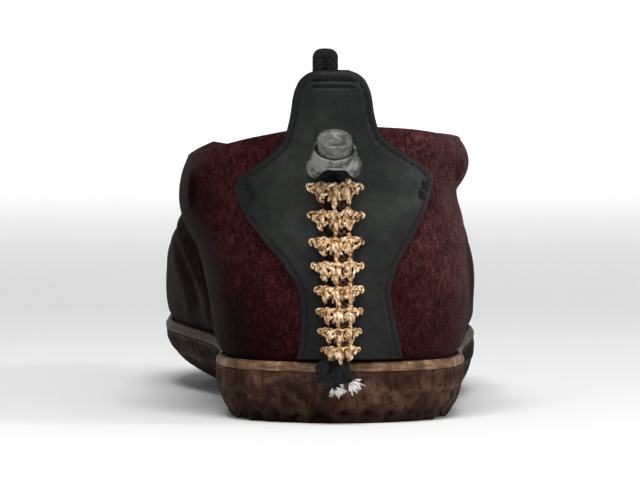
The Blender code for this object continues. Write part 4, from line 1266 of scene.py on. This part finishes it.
def make_patch():
    """The leaf-shaped leather overlay with its pull tab, edge groove and loop welt."""
    even = np.linspace(0.0, 1.0, PATCH_ROWS)
    heights = PATCH_FOOT + (TAB_TOP - PATCH_FOOT) * (0.7 * even + 0.15 * (1.0 - np.cos(math.pi * even)))
    shares = np.sin(np.linspace(-0.5, 0.5, PATCH_ACROSS) * math.pi)
    level = heights[:, None]
    across = spine(level) + patch_half(level, np.sign(shares)) * shares
    height = np.repeat(heights[:, None], PATCH_ACROSS, axis=1)
    off, _ = to_path(np.stack((across, height), axis=-1), PATCH_EDGE_LINE[::2])
    edge = np.abs(off)
    lift = patch_lift(across, height, edge)
    rings = []
    for row in range(PATCH_ROWS):
        at = float(heights[row])
        front = WALL_TUCKED.at(across[row], at, lift[row])
        back = WALL_TUCKED.at(across[row], at, np.full(PATCH_ACROSS, PATCH_GAP))
        rings.append(np.vstack((front, back[::-1])))
    stack = np.array(rings)
    count = 2 * PATCH_ACROSS
    faces, rows_at, cols_at = grid_faces(PATCH_ROWS, count)
    inset = np.hstack((edge, edge[:, ::-1], edge[:, :1]))
    loops = np.stack((inset[rows_at, cols_at], heights[rows_at]), axis=-1).reshape(-1, 2).tolist()
    faces = faces.tolist()
    for start in (0, (PATCH_ROWS - 1) * count):
        for k in range(PATCH_ACROSS - 1):
            quad = [start + k, start + count - 1 - k, start + count - 2 - k, start + k + 1]
            faces.append(quad if start == 0 else quad[::-1])
            loops += [[0.0, 0.0]] * 4
    patch = piece("heel_patch_leather", shift(stack.reshape(-1, 3)), faces, loops, [LEATHER])
    belongs(patch, SHOE, "dark_leather", "heel_patch")


def on_patch(across, height, proud):
    """A point on the patch's front face at a flat place, in the part's frame."""
    off, _ = to_path(np.array([[across, height]]), PATCH_EDGE_LINE)
    lift = patch_lift(np.array([across]), np.array([height]), np.abs(off))[0]
    return shift(WALL_TUCKED.at(across, float(height), lift + proud))


def stitch(a, b, proud=0.00012, thick=THREAD_RADIUS):
    """One stitch between two flat places, bowed so that its ends go into the leather."""
    path = []
    for share in np.linspace(0.0, 1.0, 5):
        spot = np.array(a) + (np.array(b) - np.array(a)) * share
        sink = -0.00025 * (2.0 * share - 1.0) ** 4
        path.append(on_patch(spot[0], spot[1], proud + sink))
    return sweep(np.array(path), thick, 8)


def make_stitches():
    """The row of stitches along the patch's edge, the loop's rows and the bar tacks."""
    line = PATCH_EDGE_LINE
    along = np.gradient(line, axis=0)
    along /= np.linalg.norm(along, axis=1)[:, None]
    inward = np.column_stack((along[:, 1], -along[:, 0]))
    inset = evenly(line + inward * STITCH_INSET, 600)
    run = run_along(inset)
    parts = []
    for start in np.arange(0.0015, run[-1] - 0.0030, STITCH_PITCH):
        ends = [
            [np.interp(mark, run, inset[:, k]) for k in range(2)]
            for mark in (start, start + STITCH_LENGTH)
        ]
        parts.append(stitch(*ends))
    middle = float(spine(SLOT_ROWS[0] * MM))
    for row in SLOT_ROWS:
        for x in np.arange(-SLOT_HALF + 0.4, SLOT_HALF - 0.8, 1.25):
            parts.append(stitch((middle + x * MM, row * MM), (middle + (x + 0.95) * MM, row * MM)))
    half = TACK_HALF * MM
    for across, height, slope in BAR_TACKS:
        for k in range(5):
            y = height + (k - 2) * TACK_PITCH * MM
            ends = (across - half, y - slope * half), (across + half, y + slope * half)
            parts.append(stitch(*ends, 0.00022, 0.00026))
    thread = gather("patch_stitches", parts, THREAD)
    belongs(thread, SHOE, "dark_leather")


make_patch()
make_stitches()


# Lacing

LACE_BASE = ON_PATCH + 0.0007
LACE_FRONT = ON_PATCH + CORD_DIAMETER + GAP + 0.0006

# Half of one row's ends: radius, then across, up and share of the way to the front, in mm
ROW_SIDE = (
    (0.46, ((-4.4, 2.2, 0.8), (-5.5, 3.0, 0.5), (-6.7, 2.6, 0.2), (-7.7, 2.6, 0.1), (-8.2, 1.8, 0.1),
            (-7.9, 1.0, 0.1))),
    (0.42, ((-4.9, 1.5, 0.6), (-6.0, 1.9, 0.4), (-6.8, 1.1, 0.25), (-6.4, 0.1, 0.3), (-5.5, 0.4, 0.5),
            (-5.0, 1.2, 0.6))),
    (0.52, ((-7.1, 1.6, 0.2), (-5.9, 0.6, 0.45), (-4.9, -0.6, 0.75), (-4.5, -1.9, 0.9),
            (-3.6, -2.7, 1.0))),
)

# The row's upright strands: radius, place across, foot, and bow to one side, in mm
ROW_UPRIGHTS = table("radius across foot bow", (
    (0.66, -4.1, -2.2, 0.5),
    (0.60, -3.0, -1.3, -0.5),
    (0.64, -1.7, -2.3, 0.4),
    (0.92, -0.2, -4.2, -0.1),
    (0.62, 1.2, -2.0, -0.5),
    (0.66, 2.5, -1.5, 0.5),
    (0.70, 3.9, -2.6, -0.4),
))
ROW_CAP = (0.62, ((-5.2, 2.2, 0.8), (-3.7, 3.1, 1.1), (-2.2, 2.2, 1.3), (-0.6, 2.9, 1.3), (1.0, 2.2, 1.3),
                  (2.6, 3.0, 1.2), (4.2, 2.3, 1.0), (5.3, 2.8, 0.7)))
ROW_KNOB = (0.80, ((3.7, 3.2, 0.9), (3.9, 3.8, 1.0), (3.5, 4.3, 0.9)))
ROW_EYES = ((-3.1, 0.8, 1.25), (2.9, 0.3, 1.15))

# Lace behind the gap below a row, in a darker brown copy painted as shade: radius, then places as for the
# ends
ROW_BEHIND = (
    (0.60, ((-3.4, -1.4, 0.5), (-4.3, -3.2, 0.5), (-3.3, -5.0, 0.5))),
    (0.60, ((3.4, -1.4, 0.5), (4.3, -3.3, 0.5), (3.5, -5.2, 0.5))),
    (0.50, ((-1.9, -2.2, 1.0), (-0.2, -3.6, 1.15), (1.7, -5.0, 1.0))),
    (0.46, ((1.6, -2.4, 1.0), (2.4, -3.6, 1.05), (1.2, -4.2, 1.1), (0.6, -3.2, 1.1), (1.5, -2.5, 1.0))),
)


def twist(pitch, depth=0.13):
    """A relief of three plies wound round a swept cord."""
    def wave(turn, run):
        return 1.0 - depth + depth * np.abs(np.sin(1.5 * turn + math.pi * run / pitch))
    return wave


def make_lacing():
    """Eight rows of gold and brown flecked lace, knotted over the two cords; where the lace passes behind a
    row it is a darker brown copy, painted as shade.
    """
    random = np.random.default_rng(4)
    for row in range(LACE_ROWS):
        share = row / (LACE_ROWS - 1)
        height = float(lace_height(share))
        x = float(lace_x(height))
        size = 1.0 + (LACE_HALF_FOOT / LACE_HALF_TOP - 1.0) * share**1.5
        parts = []

        def lay(radius, steps, which=0, flip=1.0):
            steps = np.array(steps) + random.normal(0.0, 1.0, (len(steps), 3)) * (0.17, 0.17, 0.06)
            path = []
            for across, up, front in steps:
                spot = BARE_WALL.at(
                    x + flip * across * size * MM,
                    height + up * size * MM,
                    LACE_BASE + (LACE_FRONT - LACE_BASE) * front,
                )
                path.append(shift(spot))
            thick = radius * MM * (0.35 + 0.65 * size)
            parts.append((*sweep(through(path, 6 * len(steps)), thick, 10, twist(0.0021)), which))

        for flip in (1.0, -1.0):
            for radius, steps in ROW_SIDE:
                lay(radius, steps, flip=flip)
        for radius, across, foot, bow in zip(*(ROW_UPRIGHTS[c] for c in ROW_UPRIGHTS)):
            heights = np.linspace(2.7, foot, 5)
            fronts = (0.9, 1.3, 1.45, 1.3, 1.0)
            bows = bow * np.sin(np.linspace(0.0, 1.0, 5) * math.pi)
            lay(radius, np.column_stack((across + bows, heights, fronts)))
        for across, up, reach in ROW_EYES:
            turn = np.linspace(0.3, 2 * math.pi - 0.2, 8)
            eye = (across + reach * np.sin(turn), up + reach * np.cos(turn), np.full(8, 1.45))
            lay(0.50, np.column_stack(eye))
        lay(*ROW_CAP)
        lay(*ROW_KNOB)
        if row < LACE_ROWS - 1:
            for radius, steps in ROW_BEHIND:
                lay(radius, steps, 1)
        lace = gather(f"lace_row_{row + 1}", parts, LACE, SHADED_LACE)
        belongs(lace, SHOE, "gold_lace", f"lace_bar_{row + 1}")


make_lacing()


# Cord lock and pull loop

LOCK_WAIST = 0.62
MOUTH_HALF = 0.62
MOUTH_RISE = 0.74

# Scars in the button's side: drop from its top in mm, place and half width in radians
BUTTON_SCARS = ((1.2, -0.70, 0.45), (2.6, -0.45, 0.35))


def lock_seat():
    """The middle of the lock's foot, with its axis and its two cross directions."""
    axis = np.array((0.0, -math.sin(LOCK_TILT), math.cos(LOCK_TILT)))
    touch = BARE_WALL.at(LOCK_X, LOCK_SEAT, ON_PATCH)
    towards = np.array((0.0, math.cos(LOCK_TILT), math.sin(LOCK_TILT)))
    foot = touch - towards * LOCK_FOOT_RADIUS
    foot[0] = LOCK_X
    return shift(foot), axis, np.array((1.0, 0.0, 0.0)), -towards


def lathe(name, profile, finish, around=96, shape=None):
    """A smooth profile of radius and height turned about the lock's axis."""
    seat, axis, side, front = lock_seat()
    turn = np.arange(around) / around * 2 * math.pi
    radius = profile[:, 0][:, None] * np.ones(around)
    height = profile[:, 1][:, None] * np.ones(around)
    if shape is not None:
        radius, height = shape(radius, height, turn[None, :])
    points = (
        seat
        + side * (radius * np.sin(turn))[:, :, None]
        + front * (radius * np.cos(turn))[:, :, None]
        + axis * height[:, :, None]
    )
    faces, rows_at, cols_at = grid_faces(len(profile), around)
    run = run_along(profile)
    across = np.arange(around + 1) / around * 2 * math.pi * LOCK_FOOT_RADIUS
    loops = grid_map(rows_at, cols_at, across, run).reshape(-1, 2).tolist()
    return piece(name, points.reshape(-1, 3), faces.tolist(), loops, [finish])


def corner_rounded(points, radius, steps=4):
    """A profile whose corners are rounded off."""
    points = [np.array(p, dtype=float) for p in points]
    out = [points[0]]
    for before, here, after in zip(points, points[1:], points[2:]):
        a = before - here
        b = after - here
        reach = min(radius, 0.45 * np.linalg.norm(a), 0.45 * np.linalg.norm(b))
        start = here + a / np.linalg.norm(a) * reach
        end = here + b / np.linalg.norm(b) * reach
        for t in np.linspace(0.0, 1.0, steps + 1):
            out.append((1 - t) ** 2 * start + 2 * t * (1 - t) * here + t * t * end)
    out.append(points[-1])
    return np.array(out)


def make_lock():
    """The bell-shaped spring lock and its push button."""
    bore = BUTTON_RADIUS + BUTTON_CLEARANCE
    bell = corner_rounded((
        (bore, 0.40 * LOCK_LENGTH),
        (bore, LOCK_LENGTH),
        (LOCK_HEAD_RADIUS, LOCK_LENGTH),
        (LOCK_HEAD_RADIUS + 0.0004, LOCK_WAIST * LOCK_LENGTH),
        (LOCK_FOOT_RADIUS - 0.0004, 0.30 * LOCK_LENGTH),
        (LOCK_FOOT_RADIUS, 0.0),
        (LOCK_FOOT_RADIUS - LOCK_WALL, 0.0),
        (LOCK_FOOT_RADIUS - LOCK_WALL, 0.16 * LOCK_LENGTH),
        (bore, 0.46 * LOCK_LENGTH),
    ), 0.0007)

    def mouth(radius, height, turn):
        """An arch in the front of the foot, where the cords come out."""
        front = np.minimum(turn, 2 * math.pi - turn)
        arch = np.exp(-((front / MOUTH_HALF) ** 4))
        low = np.clip(1.0 - height / (LOCK_WAIST * LOCK_LENGTH), 0.0, 1.0)
        return radius, height + MOUTH_RISE * LOCK_LENGTH * arch * low

    body = lathe("lock_bell", bell, LOCK_GREY, shape=mouth)
    belongs(body, SHOE, "lock_grey", "cord_lock_body")
    top = LOCK_LENGTH + BUTTON_STANDS
    low = BUTTON_PRESSED + BUTTON_TRAVEL + BUTTON_CLEARS_CORDS
    post = corner_rounded((
        (0.00001, top - BUTTON_DIMPLE),
        (0.30 * BUTTON_RADIUS, top - 0.9 * BUTTON_DIMPLE),
        (0.66 * BUTTON_RADIUS, top),
        (BUTTON_RADIUS, top - 0.0001),
        (BUTTON_RADIUS, low),
        (0.00001, low),
    ), 0.0006)
    fine = np.vstack((evenly(post[:-2], 90), post[-2:]))

    def swirl(radius, height, turn):
        """A shallow moulded swirl in the dimple and two slanting scars in the side."""
        reach = radius / BUTTON_RADIUS
        ring = hump(reach, 0.42, 0.20) * (height > LOCK_LENGTH)
        aside = (turn + math.pi) % (2 * math.pi) - math.pi
        inward = 0.0
        for drop, middle, half in BUTTON_SCARS:
            line = top - drop * MM - 1.6 * MM * (aside - middle)
            scar = hump(height, line, 0.45 * MM) * np.exp(-(((aside - middle) / half) ** 4))
            inward = inward + 0.85 * MM * scar * (reach > 0.9)
        return radius - inward, height - 0.00028 * ring * (1.0 + np.cos(turn * 2 + reach * 7.0))

    button = lathe("lock_push_button", fine, BUTTON_GREY, shape=swirl)
    belongs(button, BUTTON, "button_grey", "cord_lock_button")


def make_loop():
    """The braided loop on the inside of the tab, over its top edge."""
    radius = LOOP_DIAMETER / 2
    inside = -(radius + GAP) + PATCH_GAP
    crown = LOOP_TOP - 2 * radius
    legs = np.linspace(LOOP_FOOT, crown, 6)
    turns = np.linspace(math.pi, 0.0, 13)[1:-1]
    points = [BARE_WALL.at(LOOP_X - radius, height, inside) for height in legs]
    for turn in turns:
        cosine = math.copysign(abs(math.cos(turn)) ** LOOP_SQUARENESS, math.cos(turn))
        height = crown + radius * math.sin(turn) ** LOOP_SQUARENESS
        points.append(BARE_WALL.at(LOOP_X + radius * cosine, height, inside))
    points += [BARE_WALL.at(LOOP_X + radius, height, inside) for height in legs[::-1]]
    path = through([shift(p) for p in points], 220)
    tube = sweep(path, radius + 0.15 * MM, 32, braid(12, 0.0026, 0.11))
    loop = gather("loop_cord", [tube], CORD)
    belongs(loop, SHOE, "black_cord", "pull_loop")


make_lock()
make_loop()


# Sole, band and insole

FLUTE_PITCH = 0.0038
FLUTE_DEPTH = 0.40 * MM
SKIN_DEPTH = 0.34 * MM
LUG_SCALLOP = 1.1 * MM


def facets(columns, height):
    """The side's triangular facets: how far in the face stands, from 0 to 1."""
    cell = np.arange(columns) // SOLE_STEPS
    u = (np.arange(columns) % SOLE_STEPS) / SOLE_STEPS
    v = np.clip((height - FACET_FOOT) / (FACET_HEAD - FACET_FOOT), 0.0, 1.0)
    deep = np.where(cell % 2 == 1, np.abs(u - v), np.abs(u + v - 1.0))
    if height < FACET_FOOT:
        return deep * height / FACET_FOOT
    if height > FACET_HEAD:
        return deep * max(0.0, 1.0 - (height - FACET_HEAD) / (FACET_STEP - FACET_HEAD))
    return deep


def tread(x, along):
    """How deep the grooves across the sole and the heel's notches are at a place."""
    cut = np.zeros(np.shape(x))
    reach = 0.62 * BALL_WIDTH
    for share in GROOVES_ALONG:
        line = share * LENGTH + GROOVE_BOW * (1.0 - (x / reach) ** 2)
        cut = np.maximum(cut, ease((GROOVE_WIDTH / 2 + 0.3 * MM - np.abs(along - line)) / (0.8 * MM)))
    for share in HEEL_NOTCHES_ACROSS:
        beside = np.abs(x - share * BALL_WIDTH)
        notch = ease((0.0024 - beside) / (0.9 * MM)) * ease((0.0125 - along) / (2 * MM))
        cut = np.maximum(cut, notch)
    return cut * GROOVE_DEPTH


# Underside of the heel's back edge: across and how high it stands off the ground, in mm
HEEL_EDGE = table("across up", (
    (-40.0, 2.6),
    (-30.0, 1.1),
    (-25.0, 0.5),
    (-20.5, 0.6),
    (-18.0, 1.9),
    (-15.5, 0.3),
    (-9.0, 0.0),
    (-3.0, 0.3),
    (0.0, 1.2),
    (15.0, 1.3),
    (26.0, 1.4),
    (30.0, 2.2),
    (40.0, 3.4),
))


def heel_edge(x, along):
    """How high the heel's back edge stands at a place: three lobes and a rise at the sides."""
    return MM * smooth(x / MM, HEEL_EDGE["across"], HEEL_EDGE["up"]) * ease((20 * MM - along) / (14 * MM))


def between_sides(ring):
    """The middle line of a ring that starts at the heel, point by point."""
    return 0.5 * (ring + np.roll(ring[::-1], 1, axis=0))


def make_sole():
    """The rubber sole: lugs, triangular facets and soft flutes round its side."""
    columns = FACET_COLUMNS * SOLE_STEPS
    outline = sole_outline(columns)
    normals = level_normals(outline)
    heights = np.unique(np.concatenate((
        np.linspace(0.0, FACET_FOOT, 5),
        np.linspace(FACET_FOOT, FACET_HEAD, 13),
        np.linspace(FACET_HEAD, FACET_STEP, 4),
        np.linspace(FACET_STEP, 1.0, SOLE_ROWS - 20),
    )))
    run = run_along(outline, closed=True)
    scallop = np.abs(np.arange(columns) / SOLE_STEPS % 2 - 1.0)
    rings = []
    for height in heights:
        wobble = np.column_stack((outline, np.full(columns, height * 0.02)))
        rough = uneven(wobble, 0.008, 8)
        flute = np.sin(run[:-1] / FLUTE_PITCH * 2 * math.pi + 2.4 * uneven(wobble, 0.02, 9))
        upper_part = ease((height - 0.58) / 0.12) * ease((1.02 - height) / 0.14)
        pushed = FACETS_DEEPER * FACET_DEPTH * facets(columns, height)
        pushed = pushed - FLUTE_DEPTH * flute * upper_part - SKIN_DEPTH * rough
        loop = outline - normals * (side_inset(height, outline) + pushed)[:, None]
        share = loop[:, 1] / LENGTH
        low = ground(share)
        top = deck(outline[:, 1] / LENGTH)
        z = low + height * (top - low)
        edge = LUG_SCALLOP * scallop * max(0.0, 1.0 - height / (2.0 * FACET_FOOT))
        edge = edge + heel_edge(loop[:, 0], loop[:, 1]) * max(0.0, 1.0 - height / 0.45)
        z = np.maximum(z + edge, low + tread(loop[:, 0], loop[:, 1]))
        rings.append(np.column_stack((loop, np.minimum(z, top))))
    foot = rings[0]
    middle = between_sides(foot)
    under = []
    for share in np.linspace(1.0, 0.0, UNDER_RINGS, endpoint=False):
        ring = foot + (middle - foot) * share
        level = ground(ring[:, 1] / LENGTH) + tread(ring[:, 0], ring[:, 1])
        rim = LUG_SCALLOP * scallop + heel_edge(ring[:, 0], ring[:, 1])
        ring[:, 2] = level + rim * ease(1.0 - share * UNDER_RINGS / 2.5)
        under.append(ring)
    top = rings[-1]
    crown = between_sides(top)
    over = []
    for share in np.linspace(0.0, 1.0, 5)[1:]:
        ring = top + (crown - top) * share
        ring[:, 2] = deck(ring[:, 1] / LENGTH)
        over.append(ring)
    stack = np.array(under + rings + over)
    steps = np.linalg.norm(np.diff(stack, axis=0), axis=2).mean(axis=1)
    along = np.concatenate(([0.0], np.cumsum(steps)))
    faces, rows_at, cols_at = grid_faces(len(stack), columns)
    loops = grid_map(rows_at, cols_at, run, along)
    sole = piece("rubber_sole", shift(stack.reshape(-1, 3)), faces, loops, [RUBBER])
    sole.data.set_sharp_from_angle(angle=math.radians(24.0))
    belongs(sole, SHOE, "brown_rubber", "outsole")


def ring_piece(name, corners, columns, finish, slot, node, wavy, closed):
    """A ring or a disc on the sole's deck, from insets and rises of its profile."""
    outline = sole_outline(columns)
    normals = level_normals(outline)
    low = deck(outline[:, 1] / LENGTH) + GAP
    rings = []
    for inset, rise in corners:
        loop = outline - normals * inset
        ring = np.column_stack((loop, low + rise))
        ring[:, :2] += normals * (wavy * uneven(ring, 0.006, 12))[:, None]
        rings.append(ring)
    if not closed:
        for end, order in ((rings[0], -1), (rings[-1], 1)):
            centre = between_sides(end)
            inward = [end + (centre - end) * share for share in np.linspace(0.0, 1.0, 10)[1:]]
            rings = inward[::-1] + rings if order < 0 else rings + inward
    stack = np.array(rings)
    across = run_along(outline, closed=True)
    faces, rows_at, cols_at = grid_faces(len(stack), columns, wrap_rows=closed)
    along = np.linspace(0.0, 0.04, len(stack) + 1)
    loops = grid_map(rows_at, cols_at, across, along)
    made = piece(name, shift(stack.reshape(-1, 3)), faces, loops, [finish])
    belongs(made, SHOE, slot, node)


def make_band_and_insole():
    """The thin tan band on the sole's edge and the cupped footbed."""
    band = corner_rounded((
        (RIM_WIDTH, 0.0),
        (0.5 * RIM_WIDTH, -0.7 * GAP),
        (-0.3 * RIM_PROUD, -0.7 * GAP),
        (-RIM_PROUD, 0.5 * RIM_HEIGHT),
        (0.3 * RIM_WIDTH, RIM_HEIGHT),
        (RIM_WIDTH, RIM_HEIGHT),
    ), 0.0009, 5)
    ring_piece("tan_rim", band, 720, BAND, "tan_band", "sole_rim", 0.00022, True)
    edge = TUCK + WALL + 2 * GAP
    bed = corner_rounded((
        (edge, 0.0),
        (edge, INSOLE_THICKNESS + INSOLE_CUP),
        (edge + INSOLE_THICKNESS, INSOLE_THICKNESS + 0.4 * INSOLE_CUP),
        (edge + 3 * INSOLE_THICKNESS, INSOLE_THICKNESS),
    ), 0.0012, 5)
    ring_piece("footbed", bed, 320, LINING, "footbed", "insole", 0.0, False)


make_sole()
make_band_and_insole()


# Floor and light

FLOOR_FROM = -3.4
FLOOR_TO = 4.0
FLOOR_BEND = 1.6
FLOOR_HALF = 6.0
WALL_TOP = 5.0
SHOE_MIDDLE = (0.0, 0.0, 0.05)
WORLD_FROM = 0.05
WORLD_TO = 0.48

# Soft lights: name, place, what they face, size and watts
LIGHTS = (
    ("top", (-0.05, -0.8, 1.6), SHOE_MIDDLE, (1.0, 1.0), 27.0),
    ("right", (1.6, -0.45, 0.7), SHOE_MIDDLE, (0.6, 0.8), 10.0),
    ("strip", (-1.0, -1.8, 0.8), SHOE_MIDDLE, (0.12, 0.6), 3.0),
    ("backdrop", (0.0, 2.2, 2.6), (0.0, 4.5, 1.2), (3.0, 1.5), 130.0),
)


def make_floor():
    """A plain pale floor that curves up far behind."""
    finish = Finish("studio_floor", 0.9, Specular_IOR_Level=0.1)
    cloud = finish.noise(finish.local(), 0.8, 2.0)
    finish.done(finish.ramp(cloud, (0.3, 0.86), (0.7, 0.89)))
    turn = np.linspace(0.1, 0.5, 12) * math.pi
    level = np.linspace(FLOOR_FROM, FLOOR_TO, 12)
    reach = np.concatenate((level, FLOOR_TO + FLOOR_BEND * np.sin(turn)))
    rise = np.concatenate((np.zeros(12), FLOOR_BEND - FLOOR_BEND * np.cos(turn), [WALL_TOP]))
    reach = np.append(reach, reach[-1])
    points = [(x, y, z) for y, z in zip(reach, rise) for x in (-FLOOR_HALF, FLOOR_HALF)]
    faces = [(2 * k, 2 * k + 1, 2 * k + 3, 2 * k + 2) for k in range(len(reach) - 1)]
    floor = piece("floor", points, faces, np.zeros((4 * len(faces), 2)), [finish.material])


def make_light(name, place, target, size, power):
    """A rectangular soft light aimed at a place."""
    lamp = bpy.data.lights.new(name, "AREA")
    lamp.shape = "RECTANGLE"
    lamp.size, lamp.size_y = size
    lamp.energy = power
    thing = bpy.data.objects.new(name, lamp)
    thing.location = place
    aim = Vector(target) - Vector(place)
    thing.rotation_mode = "QUATERNION"
    thing.rotation_quaternion = aim.to_track_quat("-Z", "Y")
    bpy.context.scene.collection.objects.link(thing)


def make_studio():
    """Soft light from above and from the right behind the camera, less from the left."""
    for light in LIGHTS:
        make_light(*light)
    world = bpy.data.worlds.new("studio")
    world.use_nodes = True
    tree = world.node_tree
    background = tree.nodes["Background"]
    background.inputs["Color"].default_value = (1.0, 1.0, 1.0, 1.0)
    facing = tree.nodes.new("ShaderNodeSeparateXYZ")
    tree.links.new(tree.nodes.new("ShaderNodeTexCoord").outputs["Generated"], facing.inputs["Vector"])
    fade = tree.nodes.new("ShaderNodeMapRange")
    for socket, value in zip(fade.inputs[1:5], (-1.0, 1.0, WORLD_FROM, WORLD_TO)):
        socket.default_value = value
    tree.links.new(facing.outputs["X"], fade.inputs["Value"])
    tree.links.new(fade.outputs["Result"], background.inputs["Strength"])
    scene = bpy.context.scene
    scene.world = world
    scene.view_settings.view_transform = "Standard"


make_floor()
make_studio()
